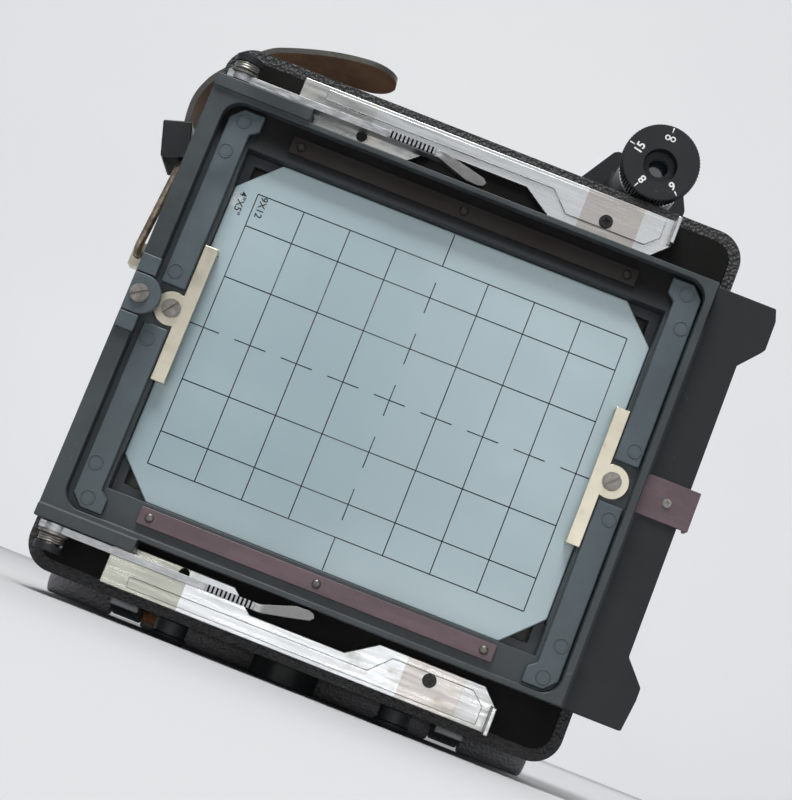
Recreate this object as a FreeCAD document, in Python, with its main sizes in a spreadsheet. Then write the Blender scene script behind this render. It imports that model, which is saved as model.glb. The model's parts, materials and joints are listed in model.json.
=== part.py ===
"""Folding press camera with a spring back, closed for carrying.

Millimetres. +Z is up, the lens looks along +Y and the ground glass faces -Y, so +X is to the right
of the photographer. The origin is the mouth of the tripod socket, on the plane the camera stands on.
"""

import FreeCAD, Part
import math
import os
import re

import Sketcher

V = FreeCAD.Vector

SIZES = {
    # body: a leather-covered box, open at the front
    "body_wide": 169,
    "body_high": 171,
    "body_low": 6.5,
    "back_face": -44,
    "front_face": 30,
    "corner": 9,
    "leather": 0.8,
    "wall": 3.7,
    "back_wall": 4,
    "cover_border": 3.5,
    "plate_thick": 1.2,
    "plate_corner": 6,
    "gate_wide": 142,
    "gate_high": 118,
    # shared clearances
    "gap": 0.3,
    "running": 0.05,
    # bed and its hinge
    "hinge_front": 3,
    "barrel_radius": 7.5,
    "barrel_half": 84.5,
    "knuckle_at": 56.5,
    "knuckle_wide": 10,
    "pin_radius": 1.5,
    "bed_thick": 7.7,
    "rail_at": 38,
    "rail_wide": 6,
    "rail_high": 6,
    "rail_start": 12,
    "track_long": 118,
    "track_base": 1.5,
    "rack_wide": 3,
    "pinion_radius": 3.9,
    "pinion_rise": 9.3,
    "pinion_up": 35,
    "knob_radius": 8,
    "knob_wide": 11,
    "knob_at": 47,
    # front standard, lens and bellows
    "foot_half": 43,
    "foot_long": 24,
    "foot_high": 6,
    "foot_front": 2,
    "frame_half": 50,
    "frame_bar": 9,
    "frame_thick": 7,
    "board_thick": 2.5,
    "shutter_radius": 27,
    "shutter_long": 13,
    "speed_ring": 2.2,
    "lens_radius": 17,
    "lens_long": 5,
    "bellows_wide": 104,
    "bellows_high": 96,
    "bellows_wall": 3,
    # focusing panel
    "glass_wide": 134.8,
    "glass_high": 110.2,
    "glass_thick": 2.5,
    "glass_chamfer": 11.3,
    "glass_drop": 1,
    "panel_left": -83.9,
    "rim_right": 79.4,
    "rim_high": 135,
    "rim_deep": 10.4,
    "rim_side": 5.7,
    "rim_edge": 1.8,
    "deck_deep": 5.4,
    "flange_right": 93.4,
    "ear_right": 99.8,
    "ledge": 3,
    "lug_long": 31,
    "lug_high": 4,
    "lug_rise": 1.2,
    "pad_wide": 7.8,
    "pad_deep": 2,
    "pad_foot": 2.6,
    "pad_bevel": 3.6,
    "strip_in": 11.4,
    "strip_wide": 5.4,
    "strip_thick": 1.2,
    "strip_out": 60.2,
    "clip_thick": 0.9,
    "clip_half": 21.8,
    "clip_wide": 4.4,
    "clip_lobe": 5.3,
    # spring arms
    "arm_thick": 2.2,
    "arm_deep": 6,
    "arm_reach": 85,
    "pivot_radius": 4.6,
    "pivot_high": 6,
    # locking slides
    "slide_left": -60,
    "slide_right": 62.5,
    "slide_high": 13,
    "slide_out": 82.6,
    "slide_thick": 1.4,
    "slide_lip": 5,
    "slide_travel": 8,
    "keep_thick": 0.9,
    # finder
    "finder_at": 50.7,
    "finder_rise": 12.9,
    "dial_radius": 12.15,
    "dial_deep": 6,
    "eye_radius": 5.3,
    "eye_drop": 1.1,
    "tube_radius": 10.5,
    "hood_left": 19.7,
    "hood_right": 16.8,
    "hood_drop": 12,
    "hood_rise": 14.6,
    "hood_top": 11.7,
    "hood_deep": 8,
    "hood_wall": 1.5,
    # hand strap, feet, socket and bed release
    "strap_wide": 22,
    "strap_thick": 2,
    "strap_mid": -4.5,
    "wire_radius": 1.3,
    "socket_radius": 3.175,
    "socket_deep": 8,
    "boss_radius": 11,
    "foot_radius": 5,
    "foot_apart": 36,
    "button_radius": 4,
    "button_rise": 1.6,
}

doc = FreeCAD.newDocument("press_camera")
sheet = doc.addObject("Spreadsheet::Sheet", "sizes")
for row, (alias, number) in enumerate(SIZES.items(), start=1):
    sheet.set("A%d" % row, alias)
    sheet.set("B%d" % row, str(number))
    sheet.setAlias("B%d" % row, alias)

# places worked out from the sizes, in the sheet too
PLACES = {
    "body_mid": "body_low + body_high / 2",
    "body_top": "body_low + body_high",
    "glass_mid": "body_low + body_high / 2 - glass_drop",
    "floor": "body_low + leather + wall",
    "plate_face": "back_face - 0.4",
    "hinge_y": "front_face + hinge_front",
    "hinge_z": "barrel_radius",
    "bed_in": "front_face + gap",
    "panel_seat": "back_face - 0.6",
    "deck_face": "back_face - 0.6 - deck_deep",
    "rim_face": "back_face - 0.6 - rim_deep",
    "glass_face": "back_face - 2",
    "slide_seat": "back_face - 0.6",
    "slide_face": "back_face - 0.6 - slide_thick",
    "finder_z": "body_low + body_high + finder_rise",
    "foot_low": "barrel_radius - hinge_front + gap + rail_high + 6",
    "arm_in": "rim_high / 2 + lug_high + gap",
    "strip_half": "glass_wide / 2 - strip_in",
}
PATTERN = re.compile(r"[a-z][a-z_]*[a-z]")
FIRST = len(SIZES) + 2


def bound(text):
    """The expression with each named size or place read from the sheet."""
    names = {**SIZES, **PLACES}
    return PATTERN.sub(lambda m: "sizes." + m[0] if m[0] in names else m[0], str(text))


for row, (alias, text) in enumerate(PLACES.items(), start=FIRST):
    sheet.set("A%d" % row, alias)
    sheet.set("B%d" % row, "=" + str(text))
    sheet.setAlias("B%d" % row, alias)
doc.recompute()

TURNS = {
    "x": FreeCAD.Rotation(V(0, 1, 0), 90),
    "y": FreeCAD.Rotation(V(1, 0, 0), -90),
    "z": FreeCAD.Rotation(),
}
PARTS = []


def place(thing, at):
    """Binds the three coordinates of an object's place."""
    for axis, text in zip("xyz", at):
        thing.setExpression("Placement.Base." + axis, bound(text))
    return thing


def keep(thing, label):
    """Names a finished sub-part, which is then written out."""
    thing.Label = label
    PARTS.append(thing)
    return thing


def box(x, y, z):
    """A block between two values of each coordinate."""
    thing = doc.addObject("Part::Box", "block")
    for side, (low, high) in zip(("Length", "Width", "Height"), (x, y, z)):
        thing.setExpression(side, bound("(%s) - (%s)" % (high, low)))
    return place(thing, (x[0], y[0], z[0]))


def rod(radius, at, axis, length):
    """A cylinder that starts at a point and runs along +x, +y or +z."""
    thing = doc.addObject("Part::Cylinder", "rod")
    thing.Placement.Rotation = TURNS[axis]
    thing.setExpression("Radius", bound(radius))
    thing.setExpression("Height", bound(length))
    return place(thing, at)


def cone(radius, end_radius, at, axis, length):
    thing = doc.addObject("Part::Cone", "cone")
    thing.Placement.Rotation = TURNS[axis]
    thing.setExpression("Radius1", bound(radius))
    thing.setExpression("Radius2", bound(end_radius))
    thing.setExpression("Height", bound(length))
    return place(thing, at)


def fuse(*things):
    thing = doc.addObject("Part::MultiFuse", "fused")
    thing.Shapes = list(things)
    thing.Refine = True
    return thing


def group(*things):
    """Separate solids that share one node."""
    thing = doc.addObject("Part::Compound", "group")
    thing.Links = list(things)
    return thing


def cut(base, *tools):
    thing = doc.addObject("Part::Cut", "cut")
    thing.Base = base
    thing.Tool = tools[0] if len(tools) == 1 else fuse(*tools)
    thing.Refine = True
    return thing


def shared(base, tool):
    """What two things have in common."""
    thing = doc.addObject("Part::Common", "shared")
    thing.Base = base
    thing.Tool = tool
    return thing


def plate(outline, start, end, round_by=None):
    """A plate in the X-Z plane between two depths, from the expressions of its corners."""
    body = doc.addObject("PartDesign::Body", "plate")
    sketch = body.newObject("Sketcher::SketchObject", "outline")
    origin = [f for f in body.Origin.OriginFeatures if f.Role == "XZ_Plane"][0]
    sketch.AttachmentSupport = [(origin, "")]
    sketch.MapMode = "FlatFace"
    count = len(outline)
    first = [V(math.cos(math.tau * n / count), math.sin(math.tau * n / count), 0) for n in range(count)]
    for n in range(count):
        sketch.addGeometry(Part.LineSegment(first[n], first[(n + 1) % count]), False)
    for n in range(count):
        sketch.addConstraint(Sketcher.Constraint("Coincident", n, 2, (n + 1) % count, 1))
    for n, corner in enumerate(outline):
        for kind, begin, text in zip(("DistanceX", "DistanceY"), (first[n].x, first[n].y), corner):
            number = sketch.addConstraint(Sketcher.Constraint(kind, -1, 1, n, 1, begin))
            sketch.setExpression("Constraints[%d]" % number, bound(text))
    pad = body.newObject("PartDesign::Pad", "pad")
    pad.Profile = sketch
    pad.setExpression("Length", bound("(%s) - (%s)" % (end, start)))
    if round_by:
        doc.recompute()
        upright = [
            "Edge%d" % (n + 1)
            for n, edge in enumerate(pad.Shape.Edges)
            if edge.BoundBox.YLength > 0.01 and edge.BoundBox.XLength + edge.BoundBox.ZLength < 0.01
        ]
        fillet = body.newObject("PartDesign::Fillet", "rounding")
        fillet.Base = (pad, upright)
        fillet.setExpression("Radius", bound(round_by))
    return place(body, ("0", end, "0"))


def rectangle(left, right, low, high):
    return [(left, low), (right, low), (right, high), (left, high)]


def centred(wide, high, middle):
    return rectangle(
        "-(%s) / 2" % wide, "(%s) / 2" % wide, "%s - (%s) / 2" % (middle, high), "%s + (%s) / 2" % (middle, high)
    )


def height_of(side, distance):
    """A height that lies the given distance out from the body's middle, up or down."""
    return "body_mid + %s * (%s)" % (side, distance)


def on_both_sides(make):
    """One solid from a function of the side's sign, and its twin."""
    return group(make("1"), make("-1"))


# ---- body -------------------------------------------------------------------------------------------


def hinge_clearance():
    return rod("barrel_radius + 2 * gap", ("-body_wide", "hinge_y", "hinge_z"), "x", "2 * body_wide")


def button_hole():
    return rod("button_radius + gap", ("0", "front_face - 9", "body_top - leather - wall - 1"), "z", "leather + wall + 2")


def body_shell():
    """The wooden box, from five boards: the back with its gate, two sides, a top and a bottom."""
    inset = "body_wide - 2 * leather", "body_high - 2 * leather"
    outside = plate(centred(*inset, "body_mid"), "back_face + leather", "front_face", "corner - leather")
    inner = "body_wide - 2 * leather - 2 * wall", "body_high - 2 * leather - 2 * wall"
    room = plate(centred(*inner, "body_mid"), "back_face + leather + back_wall", "front_face + 1")
    gate = plate(centred("gate_wide", "gate_high", "body_mid"), "back_face", "front_face")
    socket = rod("boss_radius - 3", ("0", "0", "0"), "z", "floor + 1")
    shell = cut(outside, room, gate, hinge_clearance(), socket, button_hole())
    seam = "back_face + leather + back_wall"
    half_in = "body_wide / 2 - leather - wall"
    between = "-(%s) + running" % half_in, half_in + " - running"
    depth, height = (seam + " + running", "front_face + 1"), ("0", "2 * body_high")
    sections = [
        (("-body_wide", "body_wide"), ("back_face", seam), height),
        (("-body_wide", "-(%s)" % half_in), depth, height),
        ((half_in, "body_wide"), depth, height),
        (between, depth, ("body_mid", "2 * body_high")),
        (between, depth, ("0", "body_mid")),
    ]
    return keep(group(*[shared(shell, box(*section)) for section in sections]), "body_shell")


def body_cover():
    outside = plate(centred("body_wide", "body_high", "body_mid"), "back_face", "front_face", "corner")
    inset = "body_wide - 2 * leather", "body_high - 2 * leather"
    inside = plate(centred(*inset, "body_mid"), "back_face + leather", "front_face + 1", "corner - leather")
    border = "body_wide - 2 * cover_border", "body_high - 2 * cover_border"
    window = plate(centred(*border, "body_mid"), "back_face - 1", "front_face", "plate_corner")
    socket = rod("boss_radius - 3", ("0", "0", "0"), "z", "body_mid")
    return keep(cut(outside, inside, window, hinge_clearance(), socket, button_hole()), "body_leather")


def back_plate():
    size = "body_wide - 2 * cover_border - gap", "body_high - 2 * cover_border - gap"
    sheet_metal = plate(centred(*size, "body_mid"), "plate_face", "plate_face + plate_thick", "plate_corner")
    gate = plate(centred("gate_wide", "gate_high", "body_mid"), "plate_face - 1", "front_face")
    return keep(cut(sheet_metal, gate), "back_plate")


def tripod_socket():
    boss = rod("boss_radius", ("0", "0", "0"), "z", "body_low")
    neck = rod("boss_radius - 3.2", ("0", "0", "0"), "z", "floor + 1")
    hole = rod("socket_radius", ("0", "0", "-1"), "z", "socket_deep + 1")
    return keep(cut(fuse(boss, neck), hole), "tripod_socket")


def base_feet():
    def one(side):
        at = "%s * foot_apart" % side, "back_face + 10", "0"
        return fuse(rod("foot_radius", at, "z", "body_low"), cone("foot_radius", "foot_radius + 1", at, "z", "2"))

    return keep(on_both_sides(one), "base_feet")


def body_tracks():
    def one(side):
        middle = "%s * (rail_at + rail_wide / 2)" % side
        across = middle + " - rail_wide / 2", middle + " + rail_wide / 2"
        return box(across, ("back_face + leather + back_wall + 1", "front_face - 8"), ("floor", "foot_low - gap"))

    return keep(on_both_sides(one), "body_tracks")


def bed_release():
    at = "0", "front_face - 9", "body_top"
    collar = cut(
        rod("button_radius + 2", at, "z", "0.8"),
        rod("button_radius + running", ("0", "front_face - 9", "body_top - 1"), "z", "3"),
    )
    keep(collar, "release_collar")
    button_low = "0", "front_face - 9", "body_top - 3"
    keep(rod("button_radius", button_low, "z", "button_rise + 3"), "release_button")


# ---- bed and its hinge --------------------------------------------------------------------------------


def knuckle_slots(margin):
    def one(side):
        middle = "%s * knuckle_at" % side
        across = (middle + " - knuckle_wide / 2 - " + margin, middle + " + knuckle_wide / 2 + " + margin)
        return box(across, ("hinge_y - 2 * barrel_radius", "hinge_y + 2 * barrel_radius"), ("-20", "hinge_z + 8.2"))

    return one("1"), one("-1")


def bed():
    board = plate(centred("body_wide", "body_high", "body_mid"), "bed_in", "bed_in + bed_thick", "corner")
    barrel_line = "-barrel_half", "hinge_y", "hinge_z"
    bite = rod("barrel_radius + running", ("-body_wide", "hinge_y", "hinge_z"), "x", "2 * body_wide")
    under = box(("-body_wide", "body_wide"), ("0", "2 * hinge_y"), ("-20", "hinge_z"))
    keep(cut(board, bite, under, *knuckle_slots("gap")), "bed_board")
    skin = plate(
        centred("body_wide", "body_high", "body_mid"), "bed_in + bed_thick", "bed_in + bed_thick + leather", "corner"
    )
    keep(cut(skin, box(("-body_wide", "body_wide"), ("0", "100"), ("-20", "2 * barrel_radius"))), "bed_leather")
    barrel = rod("barrel_radius", barrel_line, "x", "2 * barrel_half")
    bore = rod("pin_radius + running", ("-body_wide", "hinge_y", "hinge_z"), "x", "2 * body_wide")
    keep(cut(barrel, bore, *knuckle_slots("gap")), "bed_barrel")


def hinge():
    keep(rod("pin_radius", ("-barrel_half", "hinge_y", "hinge_z"), "x", "2 * barrel_half"), "hinge_pin")

    def one(side):
        middle = "%s * knuckle_at" % side
        start = middle + " - knuckle_wide / 2"
        across = start, middle + " + knuckle_wide / 2"
        eye = rod("barrel_radius - 1", (start, "hinge_y", "hinge_z"), "x", "knuckle_wide")
        arm = box(across, ("front_face - 16", "hinge_y"), ("body_low - 3", "body_low"))
        bore = rod("pin_radius", ("-body_wide", "hinge_y", "hinge_z"), "x", "2 * body_wide")
        return cut(fuse(eye, arm), bore)

    keep(on_both_sides(one), "hinge_knuckles")


def bed_rails():
    def one(side):
        middle = "%s * (rail_at + rail_wide / 2)" % side
        across = middle + " - rail_wide / 2", middle + " + rail_wide / 2"
        along = "hinge_z + rail_start", "hinge_z + rail_start + track_long + 25"
        return box(across, ("bed_in - rail_high", "bed_in"), along)

    keep(on_both_sides(one), "bed_rails")


def focusing():
    low = "hinge_z + rail_start + 2"
    edge = "rail_at - gap"
    base = box(("-(%s)" % edge, edge), ("bed_in - gap - track_base", "bed_in - gap"), (low, low + " + track_long"))

    def rack(side):
        middle = "%s * (rail_at - gap - rack_wide / 2)" % side
        across = middle + " - rack_wide / 2", middle + " + rack_wide / 2"
        deep = "bed_in - pinion_rise + pinion_radius + 0.1", "bed_in - gap"
        return box(across, deep, (low, low + " + track_long"))

    keep(fuse(base, rack("1"), rack("-1")), "focus_track")
    line = "bed_in - pinion_rise", "hinge_z + pinion_up"
    shaft = rod("2", ("-knob_at - 2", *line), "x", "2 * knob_at + 4")
    pinion = "rail_at - gap - rack_wide", "-rail_at + gap"
    gears = [rod("pinion_radius", (start, *line), "x", "rack_wide") for start in pinion]
    keep(fuse(shaft, *gears), "focus_shaft")

    def knob(side, start):
        wheel = rod("knob_radius", (start, *line), "x", "knob_wide")
        return cut(wheel, rod("2", ("-knob_at - 2", *line), "x", "2 * knob_at + 4"))

    keep(group(knob("1", "knob_at"), knob("-1", "-knob_at - knob_wide")), "focus_knobs")

    def bearing(side):
        middle = "%s * (rail_at + rail_wide / 2)" % side
        across = middle + " - 1.5", middle + " + 1.5"
        block = box(across, ("bed_in - pinion_rise - 4", "bed_in - rail_high"), (line[1] + " - 5", line[1] + " + 5"))
        return cut(block, rod("2 + running", ("-knob_at - 4", *line), "x", "2 * knob_at + 8"))

    keep(on_both_sides(bearing), "focus_bearings")


# ---- front standard, lens and bellows -----------------------------------------------------------------


def front_standard():
    keep(
        box(("-foot_half", "foot_half"), ("foot_front - foot_long", "foot_front"), ("foot_low", "foot_low + foot_high")),
        "standard_foot",
    )
    back, front = "foot_front - 4 - frame_thick", "foot_front - 4"
    outer = plate(centred("2 * frame_half", "2 * frame_half", "glass_mid"), back, front, "3")
    opening = "2 * frame_half - 2 * frame_bar"
    inner = plate(centred(opening, opening, "glass_mid"), back + " - 1", front + " + 1")
    legs = [
        box(
            ("%s * (foot_half - 5) - 5" % side, "%s * (foot_half - 5) + 5" % side),
            (back, front),
            ("foot_low + foot_high", "glass_mid - frame_half + 1"),
        )
        for side in ("1", "-1")
    ]
    keep(cut(fuse(outer, *legs), inner), "standard_frame")
    size = "2 * frame_half - 4"
    board = plate(centred(size, size, "glass_mid"), front, front + " + board_thick", "3")
    keep(cut(board, rod("lens_radius - 2", ("0", back, "glass_mid"), "y", "20")), "lens_board")
    base = front + " + board_thick"
    centre = "0", base, "glass_mid"
    shutter = rod("shutter_radius", centre, "y", "shutter_long")
    keep(cut(shutter, rod("lens_radius - 2", centre, "y", "30")), "shutter_case")
    nose = "0", base + " + shutter_long", "glass_mid"
    ring = rod("shutter_radius - 1", nose, "y", "speed_ring")
    keep(cut(ring, rod("lens_radius + running", nose, "y", "20")), "speed_ring")
    barrel = rod("lens_radius", nose, "y", "lens_long")
    keep(cut(barrel, rod("lens_radius - 2", nose, "y", "20")), "lens_barrel")
    keep(rod("lens_radius - 2", ("0", base + " + shutter_long + lens_long - 3", "glass_mid"), "y", "2"), "front_lens")
    keep(rod("lens_radius - 2", ("0", base + " - 1.5", "glass_mid"), "y", "2"), "rear_lens")
    lever_at = "shutter_radius", base + " + 3", "glass_mid + 4"
    keep(rod("1.5", lever_at, "x", "8"), "cocking_lever")


def bellows():
    size = "bellows_wide", "bellows_high", "glass_mid"
    start = "back_face + leather + back_wall + gap"
    end = "foot_front - 4 - frame_thick - gap"
    outside = plate(centred(*size), start, end)
    inner = "bellows_wide - 2 * bellows_wall", "bellows_high - 2 * bellows_wall"
    room = plate(centred(*inner, "glass_mid"), start + " - 1", end + " + 1")
    keep(cut(outside, room), "bellows")
    outer = "gate_wide + 8", "gate_high + 8"
    flat = "back_face + leather + back_wall"
    frame = plate(centred(*outer, "body_mid"), flat, flat + " + 2")
    hole = plate(centred("bellows_wide + 2", "bellows_high + 2", "glass_mid"), flat + " - 1", flat + " + 3")
    keep(cut(frame, hole), "bellows_frame")


# ---- focusing panel -----------------------------------------------------------------------------------


def panel_frame():
    top, low = "body_mid + rim_high / 2", "body_mid - rim_high / 2"
    ears = [
        ("panel_left", low),
        ("ear_right - 1.2", low),
        ("ear_right", low + " + 9.8"),
        ("ear_right", low + " + 13.8"),
        ("flange_right", low + " + 21.1"),
        ("flange_right", top + " - 20.5"),
        ("ear_right", top + " - 13.1"),
        ("ear_right", top + " - 3.7"),
        ("ear_right - 1.2", top),
        ("panel_left", top),
    ]
    deck = plate(ears, "deck_face", "panel_seat")
    rim = plate(rectangle("panel_left", "rim_right", low, top), "rim_face", "deck_face + 1")
    inner = rectangle("panel_left + rim_side", "rim_right - 2.5", low + " + rim_edge", top + " - rim_edge")
    well = plate(inner, "rim_face - 1", "deck_face", "6")
    seat = plate(centred("glass_wide + 4", "glass_high + 4", "glass_mid"), "deck_face + 1", "glass_face + glass_thick + 1.5")
    pocket = plate(
        centred("glass_wide + gap", "glass_high + gap", "glass_mid"), "rim_face - 1", "glass_face + glass_thick"
    )
    sight = "glass_wide - 2 * ledge", "glass_high - 2 * ledge"
    window = plate(centred(*sight, "glass_mid"), "rim_face - 1", "front_face")

    def lug(height):
        return box(("panel_left", "panel_left + lug_long"), ("rim_face - lug_rise", "slide_face - gap"), height)

    high_lug = lug((top, top + " + lug_high"))
    low_lug = lug((low + " - lug_high", low))
    return keep(cut(fuse(cut(fuse(deck, rim), well), high_lug, low_lug, seat), pocket, window), "panel_frame")


def ground_glass():
    wide, high, bite = "glass_wide / 2", "glass_high / 2", "glass_chamfer"
    corners = [
        ("-%s + %s" % (wide, bite), "glass_mid - " + high),
        ("%s - %s" % (wide, bite), "glass_mid - " + high),
        (wide, "glass_mid - %s + %s" % (high, bite)),
        (wide, "glass_mid + %s - %s" % (high, bite)),
        ("%s - %s" % (wide, bite), "glass_mid + " + high),
        ("-%s + %s" % (wide, bite), "glass_mid + " + high),
        ("-" + wide, "glass_mid + %s - %s" % (high, bite)),
        ("-" + wide, "glass_mid - %s + %s" % (high, bite)),
    ]
    return keep(plate(corners, "glass_face", "glass_face + glass_thick"), "ground_glass")


def carrier_pads():
    """Four moulded L-shaped pads on the deck, left and right of the glass."""
    inner = "glass_wide / 2 + 1.2"

    def pad(side, turn, start, foot):
        out = inner + " + pad_wide"
        corners = [
            (inner, start),
            (out, start),
            (out, "%s - %s * pad_bevel" % (foot, turn)),
            (out + " - pad_bevel", foot),
            (inner + " - pad_foot", foot),
            (inner + " - pad_foot", "%s - %s * 5" % (foot, turn)),
            (inner, "%s - %s * 7" % (foot, turn)),
        ]
        return plate([("%s * (%s)" % (side, x), z) for x, z in corners], "deck_face - pad_deep", "deck_face")

    reach = "rim_high / 2 - rim_edge - 1"
    pads = [
        pad(side, turn, height_of(turn, "6.5"), height_of(turn, reach)) for side in ("1", "-1") for turn in ("1", "-1")
    ]
    return keep(group(*pads), "carrier_pads")


def glass_holders():
    strips, rivets = [], []
    for middle in ("body_mid + strip_out", "body_mid - strip_out"):
        across = "-strip_half", "strip_half"
        along = middle + " - strip_wide / 2", middle + " + strip_wide / 2"
        strips.append(box(across, ("deck_face - strip_thick", "deck_face"), along))
        for at in ("-strip_half + 3.3", "0", "strip_half - 3.3"):
            rivets.append(rod("1.4", (at, "deck_face - strip_thick - 0.7", middle), "y", "0.7"))
    keep(group(*strips), "glass_strips")
    keep(group(*rivets), "strip_rivets")
    clips, screws = [], []
    for side in ("1", "-1"):
        middle = "%s * (glass_wide / 2 - 1.3)" % side
        face = "deck_face - clip_thick"
        across = middle + " - clip_wide / 2", middle + " + clip_wide / 2"
        bar = box(across, (face, "deck_face"), ("body_mid - clip_half", "body_mid + clip_half"))
        centre = "%s * (glass_wide / 2 + 3)" % side
        lobe = rod("clip_lobe", (centre, face, "body_mid"), "y", "clip_thick")
        edge = "%s * (glass_wide / 2 - 0.3)" % side
        toe_across = (across[0], edge) if side == "1" else (edge, across[1])
        toes = [
            box(toe_across, (face, "glass_face"), ("body_mid %s" % low, "body_mid %s" % high))
            for low, high in (("- clip_half", "- clip_half + 1.2"), ("+ clip_half - 1.2", "+ clip_half"))
        ]
        clips.append(fuse(bar, lobe, *toes))
        screws.append(cone("2.3", "2.85", (centre, face + " - 1.5", "body_mid"), "y", "1.5"))
    keep(group(*clips), "glass_clips")
    keep(group(*screws), "clip_screws")


def hood_fittings():
    low, high = "body_mid - 6", "body_mid + 6.5"
    face = "deck_face - 1"
    tab = box(("rim_right + 0.2", "flange_right + 3.2"), (face, "deck_face"), (low, high))
    lip = box(("flange_right + 2.2", "flange_right + 3.2"), (face, "panel_seat"), (low, high))
    keep(fuse(tab, lip), "hood_catch")
    keep(rod("1.35", ("rim_right + 8.5", face + " - 0.6", "body_mid"), "y", "0.6"), "catch_screw")
    left = "panel_left + 0.3"
    flat = box((left, left + " + 4"), ("rim_face - 2", "rim_face"), (low, "body_mid + 6"))
    nose = rod("6", (left + " + 4", "rim_face - 2", "body_mid"), "y", "2")
    trim = box((left + " - 9", left), ("rim_face - 3", "rim_face + 1"), ("body_mid - 9", "body_mid + 9"))
    blocks = [
        box((left, left + " + 6"), ("rim_face - 2", "rim_face"), span)
        for span in (("body_mid + 6.3", "body_mid + 12"), ("body_mid - 11.5", "body_mid - 6.3"))
    ]
    keep(group(cut(fuse(flat, nose), trim), *blocks), "hood_lug")
    keep(cone("2.3", "2.85", (left + " + 3.6", "rim_face - 3.3", "body_mid"), "y", "1.3"), "lug_screw")


def spring_arms():
    pins, bushes = [], []
    for name, side in (("upper", "1"), ("lower", "-1")):
        outline = [
            ("panel_left + 2.4", "arm_in"),
            ("panel_left + 2.4", "arm_in + arm_thick"),
            ("panel_left + arm_reach - 13", "arm_in + arm_thick"),
            ("panel_left + arm_reach - 4.5", "arm_in + 0.4"),
            ("panel_left + arm_reach + 1", "arm_in - 0.9"),
            ("panel_left + arm_reach + 2.1", "arm_in - 2"),
            ("panel_left + arm_reach + 1.5", "arm_in - 3.1"),
            ("panel_left + arm_reach", "arm_in - 3.6"),
            ("panel_left + arm_reach - 4", "arm_in - 3.4"),
            ("panel_left + arm_reach - 14", "arm_in"),
        ]
        blade = plate([(x, height_of(side, z)) for x, z in outline], "rim_face", "rim_face + arm_deep")
        toe_outline = [
            ("panel_left + arm_reach + 1", "arm_in - 0.9"),
            ("panel_left + arm_reach + 1", "arm_in - 3.2"),
            ("panel_left + arm_reach - 2", "arm_in - 3.2"),
            ("panel_left + arm_reach - 2", "arm_in - 0.4"),
        ]
        toe = plate([(x, height_of(side, z)) for x, z in toe_outline], "rim_face + 5", "slide_seat - gap")
        eye_at = "panel_left + 7"
        centre = "rim_face + arm_deep / 2"
        low = "arm_in" if side == "1" else "arm_in + arm_thick"
        bore_low = "arm_in - 1" if side == "1" else "arm_in + arm_thick + 1"
        bore = rod("2 + running", (eye_at, centre, height_of(side, bore_low)), "z", "arm_thick + 2")
        disc = rod("pivot_radius - 0.6", (eye_at, centre, height_of(side, low)), "z", "arm_thick")
        keep(cut(fuse(blade, toe, disc), bore), name + "_arm")
        start = "arm_in - gap" if side == "1" else "arm_in + arm_thick + pivot_high"
        pins.append(rod("2", (eye_at, centre, height_of(side, start)), "z", "arm_thick + pivot_high + gap"))
        low = "arm_in + arm_thick + 0.1" if side == "1" else "arm_in + arm_thick + pivot_high"
        bush = rod("pivot_radius", (eye_at, centre, height_of(side, low)), "z", "pivot_high - 0.1")
        hole = rod("2", (eye_at, centre, height_of(side, low)), "z", "pivot_high")
        bushes.append(cut(bush, hole))
    keep(group(*pins), "arm_pivots")
    keep(group(*bushes), "arm_bushes")


def locking_slides():
    keepers, screws = [], []
    for name, side in (("upper", "1"), ("lower", "-1")):
        outline = [
            ("slide_left", "slide_out - slide_high"),
            ("-22", "slide_out - slide_high"),
            ("-15", "slide_out - slide_high + 6"),
            ("15", "slide_out - slide_high + 6"),
            ("24", "slide_out - slide_high"),
            ("slide_right - 5", "slide_out - slide_high"),
            ("slide_right", "slide_out - slide_high + 5"),
            ("slide_right", "slide_out"),
            ("slide_left", "slide_out"),
        ]
        blade = plate([(x, height_of(side, z)) for x, z in outline], "slide_face", "slide_seat")
        lip_out = [
            ("slide_right - 1.4", "slide_out - 8"),
            ("slide_right", "slide_out - 8"),
            ("slide_right", "slide_out + 0.6"),
            ("slide_right - 1.4", "slide_out + 0.6"),
        ]
        lip = plate([(x, height_of(side, z)) for x, z in lip_out], "slide_face - slide_lip", "slide_seat")
        keep(fuse(blade, lip), name + "_slide")
        cover = [
            ("slide_left + 8", "slide_out - 4.6"),
            ("23", "slide_out - 4.6"),
            ("29", "slide_out - 10.6"),
            ("slide_right - 8", "slide_out - 10.6"),
            ("slide_right - 4", "slide_out - 7"),
            ("slide_right - 4", "slide_out - 1.2"),
            ("slide_left + 8", "slide_out - 1.2"),
        ]
        deep = "slide_face - 0.05 - keep_thick", "slide_face - 0.05"
        keepers.append(plate([(x, height_of(side, z)) for x, z in cover], *deep))
        head = "41.3", "slide_face - 0.05 - keep_thick - 0.9", height_of(side, "slide_out - 8.4")
        screws.append(rod("2.15", head, "y", "0.9"))
    keep(group(*keepers), "slide_keepers")
    keep(group(*screws), "keeper_screws")


# ---- finder -------------------------------------------------------------------------------------------


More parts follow.
